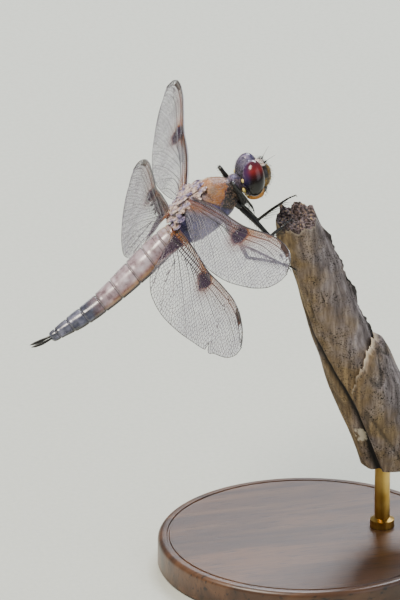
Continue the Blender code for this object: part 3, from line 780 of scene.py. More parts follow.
PLATES = [((1.5, 0, 0.62), (1.3, 1.0, 0.26)), ((-0.6, 0, 0.4), (1.1, 0.8, 0.26)),
          ((-2.3, 0, -0.2), (0.9, 1.0, 0.24)), ((-3.7, 0, -1.05), (0.8, 0.9, 0.26))]
for side, _ in SIDES:
    PLATES += [((x, side * y, z), r) for x, y, z, r in (
        (2.3, 1.3, 0.34, (0.7, 1.1, 0.2)), (1.25, 1.7, 0.36, (0.42, 1.1, 0.24)),
        (0.5, 1.75, 0.28, (0.34, 1.0, 0.22)), (-0.3, 1.8, 0.2, (0.42, 1.05, 0.22)),
        (-1.15, 1.75, 0.05, (0.34, 1.0, 0.24)), (-1.95, 1.75, -0.2, (0.4, 0.95, 0.22)),
        (-2.75, 1.65, -0.55, (0.36, 1.0, 0.24)), (-3.5, 1.5, -1.05, (0.4, 0.95, 0.22)),
        (-4.2, 1.2, -1.6, (0.4, 0.9, 0.22)), (0.8, 2.75, 0.22, (0.6, 1.0, 0.2)),
        (-0.4, 2.7, 0.02, (0.5, 0.85, 0.18)), (-2.8, 2.6, -0.85, (0.5, 0.95, 0.2)),
        (-4.0, 2.3, -1.6, (0.5, 0.8, 0.2)))]
plates = join("thorax_plates", [
    wrap_grid(f"plate_{i}", 22, 14, plate_form(at, radii, 3.1 * i + 1), masks=("kind",))
    for i, (at, radii) in enumerate(PLATES)])
# bare polished cuticle: each swollen plate has its own glint
plate_horn, where, kind = new_material("glossy cream and violet hinge cuticle", "kind")
blot = add(plate_horn, "TexNoise", {"Vector": where, "Scale": 2400.0, "Detail": 5.0})
zone = add(plate_horn, "TexNoise", {"Vector": where, "Scale": 950.0, "Detail": 4.0})
mixed = add(plate_horn, "Math", {0: kind, 1: 0.14, 2: zone}, operation="MULTIPLY_ADD")
pick = add(plate_horn, "MapRange", {"Value": mixed, "From Min": 0.52, "From Max": 0.66})
tone = paint(plate_horn, blot, {0.36: "#483430", 0.46: "#b0968a", 0.66: "#e6d5ca"},
             (pick, {0.36: "#262035", 0.46: "#6a5f82", 0.66: "#aea5c4"}))
close_material(plate_horn, tone, {"Roughness": 0.3, "IOR": CHITIN, "Coat Weight": 0.3},
               (blot, 0.00006, 0.7))
dress(plates, plate_horn, "thorax")

# %% [markdown]
# ## Abdomen
# Ten rings telescope into one another. Each has a domed back plate that meets the belly in a
# sharp side keel. The back is shiny brown with a painted grey-violet sheen along the top,
# and catches a long highlight; the last four rings are steel-black, and every joint shows as
# a fine double dark line. One closed shell is wrapped round the roof-shaped section, and the
# joints are cut into it in the form itself, 0.15 mm deep.

# %% Abdomen shell
# along the body: place, keel height, half width, roof height, belly depth
ABDOMEN = ((-4.5, -4.0, 1.85, 2.2, 1.1), (-5.6, -4.1, 2.2, 2.3, 1.2), (-7.4, -4.2, 2.45, 2.4, 1.2),
           (-11, -4.6, 2.65, 2.4, 1.15), (-14.5, -5, 2.5, 2.2, 1.05), (-18, -5.3, 2.2, 1.95, 0.95),
           (-21.5, -5.45, 1.9, 1.7, 0.85), (-24.7, -5.3, 1.65, 1.55, 0.8), (-27.2, -5, 1.25, 1.2, 0.65),
           (-29.6, -4.75, 0.85, 0.85, 0.5))
# where one ring meets the next, from the length of each
JOINTS = [-4.6]
for length in (0.85, 1.7, 3.1, 3.3, 3.6, 3.15, 3.15, 2.55, 2.3, 1.3):
    JOINTS.append(JOINTS[-1] - length)
SHELL_FRONT, SHELL_LENGTH = -3.7, 26.0


def abdomen_form(u, v):
    x = SHELL_FRONT - SHELL_LENGTH * v
    end = min(min(v, 1 - v) / 0.02, 1)
    shut = math.sqrt(max(1 - (1 - end) ** 2, 0))
    keel, half, roof, belly = (column(ABDOMEN, k, x) for k in (1, 2, 3, 4))
    c, s = math.cos(2 * math.pi * u), math.sin(2 * math.pi * u)
    ring = sum(hill(x, j, 0.17) for j in JOINTS)
    line = sum(hill(x, j - 0.1, 0.11) + 0.8 * hill(x, j + 0.16, 0.09) for j in JOINTS[1:10])
    line += 0.8 * hill(x, -8.05, 0.1) + 0.4 * hill(x, -6.3, 0.1)
    ahead = min([j for j in JOINTS if j >= x] or [JOINTS[0]])
    behind = max([j for j in JOINTS if j < x] or [JOINTS[-1]])
    part = (ahead - x) / max(ahead - behind, 0.2)
    swell = 0.07 * math.sin(math.pi * min(part, 1)) + 0.06 * step_up(part, 0.75, 0.95)
    swell -= 0.15 * min(ring, 1)
    ridge = 0.1 * hill(c, 0, 0.14)
    flat = -0.12 * hill(s, 0.45, 0.3) if s > 0 else 0
    height = (roof + swell + ridge + flat) * s ** 1.12 if s > 0 else (belly + 0.5 * swell) * power(s, 0.8)
    y, z = (half + swell + flat) * power(c, 0.8) * shut, height * shut
    side = hill(s, 0.06, 0.16) if s > -0.2 else 0
    # the back mask marks the top of each ring for the painted grey-violet sheen
    return body(x, y, keel + z), min(line, 1), step_up(s, 0.04, 0.5), max(-s, 0) ** 0.5, side, (-4 - x) / 26


RING_MASKS = ("line", "back", "belly", "side", "along")
abdomen_shell = wrap_grid("abdomen_shell", 96, 300, abdomen_form, masks=RING_MASKS)

# %% Abdomen finish
# glossy cuticle under a clear coat: a long blurred highlight over mottled brown, with a painted grey-violet
# sheen along the back
abdomen_horn, where, line, painted_sheen_back, belly, side, along = new_material(
    "worn brown and steel abdomen cuticle", *RING_MASKS)
blot = add(abdomen_horn, "TexNoise", {"Vector": where, "Scale": 700.0, "Detail": 5.0})
fine = add(abdomen_horn, "TexNoise", {"Vector": where, "Scale": 5000.0, "Detail": 2.0})
pale = add(abdomen_horn, "Math", {0: side, 1: 0.6}, operation="MULTIPLY")
jagged = add(abdomen_horn, "Math", {0: blot, 1: 0.16, 2: along}, operation="MULTIPLY_ADD")
tail = add(abdomen_horn, "MapRange", {"Value": jagged, "From Min": 0.66, "From Max": 0.78})
dusk = add(abdomen_horn, "MapRange", {"Value": belly, "From Min": 0.1, "From Max": 0.45})
# the pale grey-violet over the top of the rings is a painted sheen
tone = paint(abdomen_horn, blot, {0.3: "#57301c", 0.5: "#835030", 0.72: "#a67850"},
             (painted_sheen_back, {0.3: "#6b565c", 0.5: "#a38f97", 0.7: "#cdc1ca"}), (pale, "#a8845c"),
             (tail, {0.3: "#1b1b25", 0.5: "#414355", 0.72: "#7b7c93"}), (dusk, "#1b1512"),
             (line, "#170e0b"))
gloss = add(abdomen_horn, "MapRange", {"Value": blot, "From Min": 0.3, "From Max": 0.7,
                                "To Min": 0.22, "To Max": 0.38})
close_material(abdomen_horn, tone, {"Roughness": gloss, "IOR": 1.6, "Coat Weight": 1.0, "Coat Roughness": 0.27},
               (fine, 0.00002, 0.4))
dress(abdomen_shell, abdomen_horn, "abdomen", *[f"abdomen_{i:02d}" for i in range(1, 11)])

# %% [markdown]
# Two short horns, the cerci, end the abdomen. They are spindles, thin at the root, fat in the
# middle and pointed, and black like the legs.

# %% Cerci
# smooth black cuticle: nearly all that shows is a thin line of light
black_horn, where = new_material("black glossy cuticle")
fine = add(black_horn, "TexNoise", {"Vector": where, "Scale": 3500.0, "Detail": 3.0})
tone = paint(black_horn, fine, {0.35: "#050505", 0.7: "#161311"})
close_material(black_horn, tone, {"Roughness": 0.28, "IOR": CHITIN}, (fine, 0.00003, 0.6))


def spline(points, count):
    """World points on a smooth curve through a few world points."""
    pts = [points[0] * 2 - points[1]] + list(points) + [points[-1] * 2 - points[-2]]
    out = []
    for a, b, c, d in zip(pts, pts[1:], pts[2:], pts[3:]):
        for k in range(count):
            t = k / count
            out.append(0.5 * (2 * b + (c - a) * t + (2 * a - 5 * b + 4 * c - d) * t * t
                              + (3 * b - a - 3 * c + d) * t ** 3))
    return out + [points[-1]]


def taper(points, profile, count):
    """A rod along a smooth curve, its radius from a profile in hundredths of a millimetre."""
    way = spline(points, count)
    return way, [0.01 * MM * smooth(profile, k / (len(way) - 1)) for k in range(len(way))]


CERCUS = ((-29.2, 0.36, -4.55), (-30.6, 0.5, -4.3), (-31.7, 0.52, -4.0), (-32.8, 0.46, -3.6))
SPINDLE = ((0, 16), (0.2, 18), (0.5, 24), (0.8, 20), (1, 4))
for side, word in SIDES:
    spindle = taper([body(x, side * y, z) for x, y, z in CERCUS], SPINDLE, 8)
    dress(rod_mesh("cercus_horn_" + word, [spindle], sides=18), black_horn, "horn", "cercus_" + word)

# %% [markdown]
# ## Head
# Two great eyes meet along the top of the head, red-brown above and nearly black below, each
# of some thousands of lenses under a clear glossy skin, with a painted violet-grey sheen on the
# crown and the inner side and a painted bluish reflection at the back. Behind them a dark shell
# with yellow spots closes the head, in front stands the swollen yellow face, on top of it a
# chalky pink knob with three small eyes, and below are the lips. Each is a ball turned,
# stretched and dented by a formula where the real one is pinched, and it keeps its own name.

# %% Places on the head
HEAD = Vector((9.83, 0, 3.02))


def head_point(at):
    return level(*(HEAD + at))


def tilted(degrees, axis):
    return Matrix.Rotation(math.radians(degrees), 3, axis)


def lump(name, at, radii, turn=Matrix.Identity(3), dent=None, masks=(), mask=None, faces=(64, 44)):
    """A dented ball on the head; mask(unit, place on the head) gives its mask values."""
    def form(u, v):
        unit = round_way(u, v)
        local = Vector(radii) * unit
        spot = Vector(at) + turn @ (dent(unit, local) if dent else local)
        return (head_point(spot), *mask(unit, spot)) if masks else head_point(spot)
    return wrap_grid(name, *faces, form, masks=masks)


# %% Eyes
EYE_MASKS = ("upper", "rear", "crown")
# clear cuticle over deep pigment: small sharp glints on a dark glow
lens, where, upper, rear, crown = new_material("red over black compound eye", *EYE_MASKS)
cloud = add(lens, "TexNoise", {"Vector": where, "Scale": 600.0, "Detail": 2.0})
high = add(lens, "Math", {0: cloud, 1: 0.12, 2: upper}, operation="MULTIPLY_ADD")
# a painted bluish reflection at the upper back of the eye
painted_blue_reflection = add(lens, "Math", {0: rear, 1: 0.75}, operation="MULTIPLY")
red = paint(lens, high, {0.34: "#0c0a06", 0.5: "#150a08", 0.62: "#3d0d10",
                         0.78: "#7a1f20", 0.97: "#4a1c2a"})
# painted reflections: bluish at the back, violet-grey on the crown and inner side
tone = paint(lens, cloud, red, (painted_blue_reflection, "#2c2a58"),
             (crown, {0.36: "#1c1b34", 0.5: "#4f4a68", 0.66: "#8d829c"}))
# real lenses are 0.04 mm across; 0.1 mm is the finest that still shows
facet = add(lens, "TexVoronoi", {"Vector": where, "Scale": 10000.0})
close_material(lens, tone, {"Roughness": 0.22, "IOR": 1.42, "Coat Weight": 0.25, "Coat Roughness": 0.05},
               (facet, 0.000015, 0.35))


def eye(side, word):
    def dent(unit, local):
        flat = step_up(-side * unit.y, 0.3, 1.0)
        return Vector((local.x * (1 - 0.06 * flat), local.y + side * 0.25 * flat, local.z))

    def mask(unit, spot):
        # where the painted bluish reflection lies
        rear = step_up(-unit.x, 0.3, 0.85) * step_up(unit.z, -0.6, 0.1)
        # where the painted violet-grey sheen lies, on the crown and the inner side
        crown = step_up(0.75 * unit.z - 0.55 * side * unit.y - 0.15 * unit.x, 0.42, 0.72)
        return 0.5 + 0.5 * (unit.z - 0.1 * unit.x), rear, crown
    return lump("compound_eye_" + word, (-0.05, 2.05 * side, -0.05), (1.75, 1.75, 2.8),
                tilted(18 * side, "X"), dent, EYE_MASKS, mask, (96, 72))


for side, word in SIDES:
    dress(eye(side, word), lens, "eye", "eye_" + word)

# %% Back of the head, with its yellow spots
BACK_SHELL = ((-0.25, 0, -0.6), (1.8, 1.5, 2.75))
TEMPLES = [((-0.42, 1.62 * side, -0.25), (1.5, 1.4, 2.62), tilted(18 * side, "X")) for side, _ in SIDES]
SPOTS = [(Vector((x, y * side, z)), radii) for side, _ in SIDES for x, y, z, radii in (
    (-1.72, 2.15, -0.3, (0.26, 0.42, 0.36)), (-1.5, 2.1, -1.75, (0.3, 0.45, 0.5)),
    (-1.05, 1.85, -2.7, (0.3, 0.45, 0.24)))]


def shell_mask(unit, spot):
    # the shell's top gets a painted grey-violet sheen
    return 0.0, step_up(spot.z, 0.8, 2.2)


shell = {"masks": ("yellow", "grey"), "mask": shell_mask}
skull = join("head_shell", [
    lump("occiput", *BACK_SHELL, **shell), *[lump("temple", *temple, **shell) for temple in TEMPLES],
    *[lump("spot", *spot, masks=("yellow", "grey"), mask=lambda unit, spot: (1.0, 0.0), faces=(20, 14))
      for spot in SPOTS]])
# black cuticle with enamel-like spots, less polished than the legs
head_horn, where, yellow, grey = new_material("black head cuticle with yellow spots", "yellow", "grey")
fine = add(head_horn, "TexNoise", {"Vector": where, "Scale": 2500.0, "Detail": 3.0})
crisp = add(head_horn, "MapRange", {"Value": yellow, "From Min": 0.4, "From Max": 0.55})
# the grey-violet on the top of the shell is a painted sheen
tone = paint(head_horn, fine, {0.3: "#0b090b", 0.7: "#25202a"}, (grey, {0.3: "#353050", 0.7: "#8982a8"}),
             (crisp, {0.3: "#e3c354", 0.7: "#f6e59a"}))
close_material(head_horn, tone, {"Roughness": 0.38, "IOR": CHITIN}, (fine, 0.00004, 0.6))
dress(skull, head_horn, "head", "head")


# %% Face: forehead, lip plate and their grooves
def face_dent(unit, local):
    groove = 0.2 * hill(unit.z, -0.08, 0.09) + 0.16 * hill(unit.z, -0.55, 0.08)
    middle = 0.12 * hill(unit.y, 0, 0.1) * step_up(unit.z, 0.1, 0.5)
    brow = 0.16 * hill(unit.z, 0.42, 0.5)
    return local * (1 + 0.5 * (brow - groove - middle) * max(unit.x, 0))


def face_mask(unit, spot):
    groove = hill(unit.z, -0.08, 0.07) + hill(unit.z, -0.55, 0.06)
    groove += hill(unit.y, 0, 0.05) * step_up(unit.z, 0.3, 0.6)
    white = step_up(unit.z, 0.8, 0.92)
    rim = (1 - step_up(unit.x, 0.42, 0.62)) * step_up(unit.z, -0.12, 0.08) * (1 - white)
    return min(groove, 1), white, rim


FACE_MASKS = ("groove", "white", "rim")
face = lump("yellow_face", (1.7, 0, -0.45), (1.6, 1.85, 2.05), tilted(-8, "Y"),
            face_dent, FACE_MASKS, face_mask, (80, 60))
# thin cuticle that lets a little light in, which warms its yellow
face_horn, where, groove, white, rim = new_material("golden yellow face cuticle", *FACE_MASKS)
blot = add(face_horn, "TexNoise", {"Vector": where, "Scale": 1300.0, "Detail": 4.0})
tone = paint(face_horn, blot, {0.28: "#2d200c", 0.48: "#7c5c1b", 0.72: "#b58d3c"},
             (white, {0.3: "#cdb2a2", 0.7: "#f3e6dc"}), (rim, "#191210"), (groove, "#3b2410"))
close_material(face_horn, tone, {"Roughness": 0.34, "IOR": CHITIN, "Subsurface Weight": 0.1,
                                 "Subsurface Radius": (0.0004, 0.0002, 0.0001)}, (blot, 0.00005, 0.6))
dress(face, face_horn, "face", "face")


# %% Chalky knob with three small eyes
def cleft(unit, local):
    return local * (1 - 0.2 * hill(unit.y, 0, 0.2) * step_up(unit.z, 0, 0.6))


knob = join("head_knob", [
    lump("crest", (1.35, 0, 1.72), (0.7, 0.72, 0.46), dent=cleft, faces=(32, 24)),
    *[lump("ridge", (1.75, 0.5 * side, 1.45), (0.55, 0.5, 0.36), faces=(24, 16)) for side, _ in SIDES]])
# pale crumbly pigment under a thin shine
chalky, where = new_material("chalky pink knob cuticle")
blot = add(chalky, "TexNoise", {"Vector": where, "Scale": 1800.0, "Detail": 4.0})
tone = paint(chalky, blot, {0.3: "#6b5550", 0.4: "#c8b0a6", 0.55: "#f3e4dc"})
close_material(chalky, tone, {"Roughness": 0.35, "IOR": CHITIN}, (blot, 0.00005, 0.6))
dress(knob, chalky, "head", "vertex")
# a rounded clear lens: one sharp glint
bead, where = new_material("clear small eye")
mist = add(bead, "TexNoise", {"Vector": where, "Scale": 4000.0})
close_material(bead, paint(bead, mist, {0.3: "#6d6a66", 0.7: "#cfcac2"}),
               {"Roughness": 0.08, "IOR": 1.5, "Coat Weight": 1.0})
ocelli = [lump("bead", at, (0.2, 0.2, 0.2), faces=(18, 12))
          for at in ((2.05, 0, 1.72), (1.55, 0.68, 1.75), (1.55, -0.68, 1.75))]
dress(join("small_eyes", ocelli), bead, "eye")

# %% Lips and jaws
LIP_MASKS = ("dark", "warm")
jaws = [lump("upper_lip", (1.55, 0, -2.5), (1.15, 1.45, 0.75), masks=LIP_MASKS, faces=(40, 28),
             mask=lambda unit, spot: (step_up(spot.x, 1.5, 1.9), 0.2)),
        lump("lower_lip", (0.75, 0, -3.25), (1.5, 1.1, 0.62), masks=LIP_MASKS, faces=(40, 28),
             mask=lambda unit, spot: (hill(unit.y, 0, 0.12), 1.0))]
for side, _ in SIDES:
    jaws += [lump("lobe", (0.55, 0.98 * side, -3.1), (1.45, 0.98, 0.82), Matrix.Rotation(-0.12, 3, "Y"),
                  masks=LIP_MASKS, faces=(40, 28),
                  mask=lambda unit, spot: (step_up(unit.x, 0.8, 0.95), 1.0)),
             lump("jaw", (1.3, 1.35 * side, -2.3), (0.85, 0.55, 0.7), masks=LIP_MASKS, faces=(28, 20),
                  mask=lambda unit, spot: (step_up(unit.x, 0.3, 0.7), 0.4))]
# smooth thin cuticle, orange on the lower lip
lip_horn, where, dark, warm = new_material("orange yellow lip cuticle", *LIP_MASKS)
blot = add(lip_horn, "TexNoise", {"Vector": where, "Scale": 1500.0, "Detail": 3.0})
tone = paint(lip_horn, blot, {0.3: "#8a6130", 0.7: "#cfa463"}, (warm, {0.3: "#a65c10", 0.7: "#e09a24"}),
             (dark, "#15100d"))
close_material(lip_horn, tone, {"Roughness": 0.33, "IOR": CHITIN}, (blot, 0.00004, 0.5))
dress(join("lips", jaws), lip_horn, "face", "mouthparts")

# %% Feelers
FEELER = ((1.95, 0.7, 1.65), (2.3, 0.95, 2.1), (2.75, 1.3, 2.6), (3.5, 1.9, 3.3))
for side, word in SIDES:
    thread = taper([head_point(Vector((x, side * y, z))) for x, y, z in FEELER],
                   ((0, 14), (0.3, 11), (0.36, 4), (1, 1.5)), 8)
    dress(rod_mesh("feeler_" + word, [thread], sides=10), black_horn, "horn", "antenna_" + word)

# %% [markdown]
# ## Legs
# Six black legs reach forward to the stem as a basket. Each has a stout thigh and shank, a
# jointed foot a third as thick and two hooked claws, and two rows of long spines down the
# thigh and shank that comb prey out of the air. A limb is one tapering tube along a smooth
# path; joints are short swellings and spines are fine cones.

# %% Leg paths, level frame, right side: coxa top, hip, knee, ankle, claw tip
LEGS = {
    "foreleg": ((7.7, -0.5, -0.3), (8.6, -1.75, -1.15), (6.0, -3.3, 3.1), (9.1, -2.9, -1.0),
                (9.7, -2.5, -2.2)),
    "midleg_right": ((6.8, -0.9, -0.6), (7.9, -1.3, -1.9), (11.7, -4.5, -5.9), (13.85, -3.7, -4.9),
                     (15.4, -3.15, -4.1)),
    "midleg_left": ((6.8, -0.9, -0.6), (7.9, -1.3, -1.9), (11.9, -3.0, -6.1), (16.1, -2.9, -3.35),
                    (17.8, -2.7, -2.55)),
    "hindleg_right": ((4.9, -0.9, -2.6), (6.1, -1.5, -4.1), (8.0, -4.8, -8.8), (14.6, -2.9, -11.4),
                      (16.4, -2.2, -12.7)),
    "hindleg_left": ((4.9, -0.9, -2.6), (6.1, -1.5, -4.1), (8.5, -4.0, -9.6), (14.9, -2.6, -13.0),
                     (16.8, -2.2, -14.3)),
}
# the foreleg's shank starts beside the knee and its ankle lies inwards, so that they don't cross
SHANK_IN, ANKLE_IN = 0.55, 0.45
# radii in hundredths of a millimetre along each part
THICK = {"coxa": ((0, 66), (0.5, 62), (1, 46)),
         "femur": ((0, 36), (0.12, 46), (0.5, 42), (0.9, 32), (1, 34)),
         "tibia": ((0, 30), (0.06, 24), (0.5, 21), (0.93, 17), (1, 21)),
         "tarsus": ((0, 14), (0.3, 17), (0.34, 11), (0.62, 15), (0.66, 10), (1, 13))}


# %% Limbs, spines and claws
def limb(start, end, part, bow=0.0, count=7):
    """Slightly bowed tube from start to end."""
    return taper([start, (start + end) / 2 + Vector((0, 0, bow * MM)), end], THICK[part], count)


def spine_rows(start, end, radius, long, count, spread):
    """Two rows of spines along the under side of a limb."""
    axis = (end - start).normalized()
    down = (Vector((0, 0, -1)) - axis * -axis.z).normalized()
    out = axis.cross(down)
    spines = []
    for k in range(count):
        t = 0.14 + 0.8 * k / (count - 1)
        for side in (-1, 1):
            way = (down * (0.5 + 0.3 * rng.random()) + out * side * spread + axis * 0.75).normalized()
            root = start + (end - start) * (t + 0.02 * rng.random()) + way * radius * 0.6
            size = long * (0.75 + 0.4 * rng.random()) * MM
            bend, tip = root + (way * 0.5 + axis * 0.04) * size, root + (way + axis * 0.16) * size
            spines.append(([root, bend, tip], [0.00005, 0.000036, 0.00001]))
    return spines


def claws(ankle, claw):
    toe = (claw - ankle).normalized()
    for way in (-1, 1):
        bend = claw + toe * 0.00018 + Vector((0, way * 0.0001, 0.00003))
        hook = claw + toe * 0.0003 + Vector((0, way * 0.00016, -0.0002))
        yield [claw, bend, hook, hook + Vector((0, 0, -0.00022))], [0.00006, 0.00005, 0.00003, 0.00001]


# %% Make the six legs
for name, path in LEGS.items():
    for side, word in SIDES:
        if "_" in name and not name.endswith(word):
            continue
        full = name if "_" in name else f"{name}_{word}"
        coxa, hip, knee, ankle, claw = [Vector((x, -side * y, z)) for x, y, z in path]
        shank = knee.copy()
        if name == "foreleg":
            shank.y += side * SHANK_IN
            ankle.y += side * ANKLE_IN
        coxa, hip, knee, shank, ankle, claw = [level(*p) for p in (coxa, hip, knee, shank, ankle, claw)]
        rods = [limb(coxa + (coxa - hip) * 0.3, hip, "coxa"),
                limb(hip + (coxa - hip) * 0.1, knee, "femur", 0.15),
                limb(shank, ankle, "tibia", 0.1), limb(ankle, claw, "tarsus", 0.1, 13), *claws(ankle, claw)]
        spines = spine_rows(hip, knee, 0.0004, 0.7, 11, 0.7)
        spines += spine_rows(shank, ankle, 0.0002, 1.25, 12, 0.75)
        made = join("leg_" + full, [rod_mesh("limbs", rods, sides=14), rod_mesh("spines", spines, sides=4)])
        dress(made, black_horn, "leg", *[f"{full}_{part}" for part in THICK])

# %% [markdown]
# ## Coat
# Chasers are furry: a pale tan pile on the front and top of the thorax that stands out at the
# edges, greyer on its sides and dark below, a grey fringe behind the eyes, thin dark bristles
# on the face, and a pale fuzz on the first rings of the abdomen. Hairs come in small tufts of
# curved cones that grow from one root on the skin and lean back along the body. Particle hair
# would be easier, but only solid meshes last outside Blender.


# %% Grow tufts on a skin
# a hair's radius and how deep its root sits, in metres
HAIR_RADIUS, HAIR_ROOT = 0.000014, 0.00005
# a small step over the skin, to find which way is out
NEARBY = 0.004


def stray_way():
    return Vector([rng.uniform(-1, 1) for _ in range(3)])


def grow(form, count, spec, tile=(0, 0, 1, 1)):
    """spec(u, v, point, out) gives (length mm, lean, stand, tone, hairs) or None.

    tile is the part of the unwrap that this skin has to itself.
    """
    rods, roots = [], []
    for _ in range(count):
        u, v = rng.random(), 0.02 + 0.96 * rng.random()
        spots = [form(a, b) for a, b in ((u, v), (u + NEARBY, v), (u, v + NEARBY))]
        here, beside, ahead = [s[0] if isinstance(s, tuple) else s for s in spots]
        out = (beside - here).cross(ahead - here)
        if out.length < 1e-12:
            continue
        out.normalize()
        wanted = spec(u, v, here, out)
        if not wanted:
            continue
        length, lean, stand, tone, hairs = wanted
        for _ in range(hairs):
            half_way = 0.5 * MM * length * rng.uniform(0.65, 1.25)
            stray = stray_way() * 0.35
            flat = (lean - out * lean.dot(out)).normalized()
            way = (out * stand + flat * (1 - 0.5 * stand) + stray).normalized()
            root = here - out * HAIR_ROOT + stray_way() * 0.00006
            droop = (way + flat * 0.6 + stray * 0.4).normalized()
            thick = rng.uniform(0.8, 1.2) * HAIR_RADIUS
            value = min(max(tone + rng.uniform(-0.12, 0.12), 0), 1)
            rods.append(([root, root + way * half_way, root + (way + droop) * half_way],
                         [thick, thick * 0.75, thick * 0.2], value))
            roots.append((tile[0] + tile[2] * (0.01 + 0.98 * u), tile[1] + tile[3] * (0.01 + 0.98 * v)))
    return rods, roots


BACK = TILT @ Vector((-1, 0, 0.1))
DOWN = Vector((0, 0, -1))


def thorax_hair(u, v, here, out):
    x, _, z, _, _, slant = trunk_ring(u, v)
    upper = z > 0
    if x < -4.2:
        return None
    if x > 6.5:
        return 0.75, BACK + out * 0.3, 0.8, 0.56, 5
    if x < 2.4 and z > -1.3:
        return 1.0, BACK, 0.9, 0.9, 3
    if slant > 1.3 and z > 0.57 * x - 4.5:
        return 0.5 + 0.4 * upper, BACK + out * 0.2, 0.4 + 0.45 * upper, 0.68 + 0.2 * upper, 3
    if slant > 1 and x > 1.6:
        return 1.0, BACK + DOWN * 0.6, 0.75, 0.2 + 0.5 * (rng.random() < 0.55), 5
    return (0.55, BACK + DOWN * 0.5, 0.35, 0.45, 2) if rng.random() < 0.7 else None


# hair catches light along its edges, which sheen stands for
hair, where, tone = new_material("fine pale body hair", "tone")
uneven = add(hair, "TexNoise", {"Vector": where, "Scale": 800.0})
mixed = add(hair, "Math", {0: uneven, 1: 0.2, 2: tone}, operation="MULTIPLY_ADD")
tint = paint(hair, mixed, {0.1: "#0f0c0b", 0.4: "#2a2433", 0.65: "#938ba8",
                           0.85: "#c79a6a", 1.0: "#ead6b8"})
close_material(hair, tint, {"Roughness": 0.45, "IOR": 1.55, "Sheen Weight": 0.3})

rods, roots = grow(thorax_form, 6400, thorax_hair)
# in two pieces, so that neither is too heavy
half = len(rods) // 2
for k, part in enumerate((slice(half), slice(half, None))):
    dress(rod_mesh(f"thorax_coat_{k + 1}", rods[part], masks=("tone",), roots=roots[part]), hair, "thorax")


# %% Fuzz on the abdomen
def abdomen_hair(u, v, here, out):
    x, s = SHELL_FRONT - SHELL_LENGTH * v, math.sin(2 * math.pi * u)
    if x > -6.6 and s > -0.3:
        return 0.75, BACK, 0.55, 0.85, 3
    if x > -12 and s > 0.1 and rng.random() < 0.35 * (1 - (-6.6 - x) / 6):
        return 0.4, BACK, 0.3, 0.7, 2
    if abs(s) < 0.25 and rng.random() < 0.8:
        return 0.3, BACK, 0.5, 0.45, 1
    return None


rods, roots = grow(abdomen_form, 5200, abdomen_hair)
dress(rod_mesh("abdomen_coat", rods, masks=("tone",), roots=roots), hair, "abdomen")


# %% Fringe and bristles of the head
def on_head(at, radii, turn=Matrix.Identity(3)):
    return lambda u, v: head_point(Vector(at) + turn @ (Vector(radii) * round_way(u, v)))


def fringe(u, v, here, out):
    near = min((here - head_point(spot)).length for spot, _ in SPOTS)
    if out.x > -0.1 or out.z < -0.75 or near < 0.0007:
        return None
    return 0.55, Vector((-0.6, 0, 0.5)) + out * 0.4, 0.8, 0.46, 2


def bristle(u, v, here, out):
    return (0.55, Vector((0.3, 0, -0.6)), 0.95, 0.12, 1) if out.x >= 0.15 else None


def top_bristle(u, v, here, out):
    return (0.7, Vector((0.4, 0, 0.8)), 1.0, 0.2, 1) if out.z > -0.1 else None


# skin, tufts, kind of hair and its part of the unwrap
rods, roots = [], []
for form, count, spec, corner in (
        (on_head(*BACK_SHELL), 900, fringe, (0, 0)),
        (on_head(*TEMPLES[0]), 700, fringe, (0.33, 0)),
        (on_head(*TEMPLES[1]), 700, fringe, (0.66, 0)),
        (on_head((1.7, 0, -0.45), (1.65, 1.9, 2.1)), 520, bristle, (0, 0.5)),
        (on_head((1.35, 0, 1.72), (0.7, 0.72, 0.46)), 150, top_bristle, (0.33, 0.5)),
        (on_head((0.75, 0, -3.1), (1.9, 1.8, 0.8)), 240, bristle, (0.66, 0.5))):
    more = grow(form, count, spec, (*corner, 0.33, 0.5))
    rods, roots = rods + more[0], roots + more[1]
dress(rod_mesh("head_coat", rods, masks=("tone",), roots=roots), hair, "head")

# %% [markdown]
# ## Perch and stand
# The insect holds the snapped end of a dead hollow stem, weathered grey-brown with ochre
# patches that gather on the side towards the insect as a painted tint of the light. It is
# specked with black mould, split lengthwise and torn at the top. Lower down a sleeve of loose
# bark with a pale ragged rim wraps the outer side. Its cracks and fibres run the whole length,
# so the relief is noise stretched along the stem, with the deepest cracks cut in the form and
# the fine ones left to bump; the cracks, the split and the ridge are also painted dark, as
# painted shade.

# %% Stem axis, thickness and torn top
LEAN, TOP, LOW_END = math.radians(20.4), Vector((17.1, 0, -4.6)), -47.0
STEM = (TOP.z - LOW_END) / math.cos(LEAN)
# how far the wood's skin lies inside the solid, mm
INSIDE = 0.12


def stem_point(down, angle, radius):
    """Angle 0 is the side away from the insect, 90 its left."""
    a = math.radians(angle)
    axis = Vector((math.sin(LEAN), 0, -math.cos(LEAN)))
    out = Vector((math.cos(LEAN) * math.cos(a), math.sin(a), math.sin(LEAN) * math.cos(a)))
    return level(*(TOP + down * axis + radius * out))


def stem_radius(down, angle):
    a = math.radians(angle)
    girth = 3.1 + 1.3 * min(max(down, 0) / 28, 1.1)
    girth += 0.4 * max(0.0, -math.cos(a)) * min(max((down - 3) / 5, 0), 1)
    return girth * (1 + 0.035 * math.sin(3 * a + 0.21 * down) + 0.025 * math.sin(5 * a - 0.4 * down))


def foot(angle, radius):
    """How far down the axis the level cut at the foot lies."""
    return STEM + radius * math.cos(math.radians(angle)) * math.tan(LEAN)


def fibre(angle, down, seed, pitch, stretch):
    """Noise drawn out along the stem; pitch is how many lumps fit round it."""
    a = math.radians(angle)
    return noise.noise(Vector((pitch * math.cos(a), pitch * math.sin(a), down / stretch + seed)))


def torn(angle):
    """How far the torn top rises above the end of the axis."""
    a = math.radians(angle)
    splinter = 0.5 * fibre(angle, 0, 0.4, 3.5, 1) + 0.35 * fibre(angle, 0, 2.4, 9, 1)
    return 1.2 * math.cos(a - 1.7) - 0.5 + 0.3 * math.sin(3 * a + 0.8) + 0.25 * math.sin(7 * a) + splinter


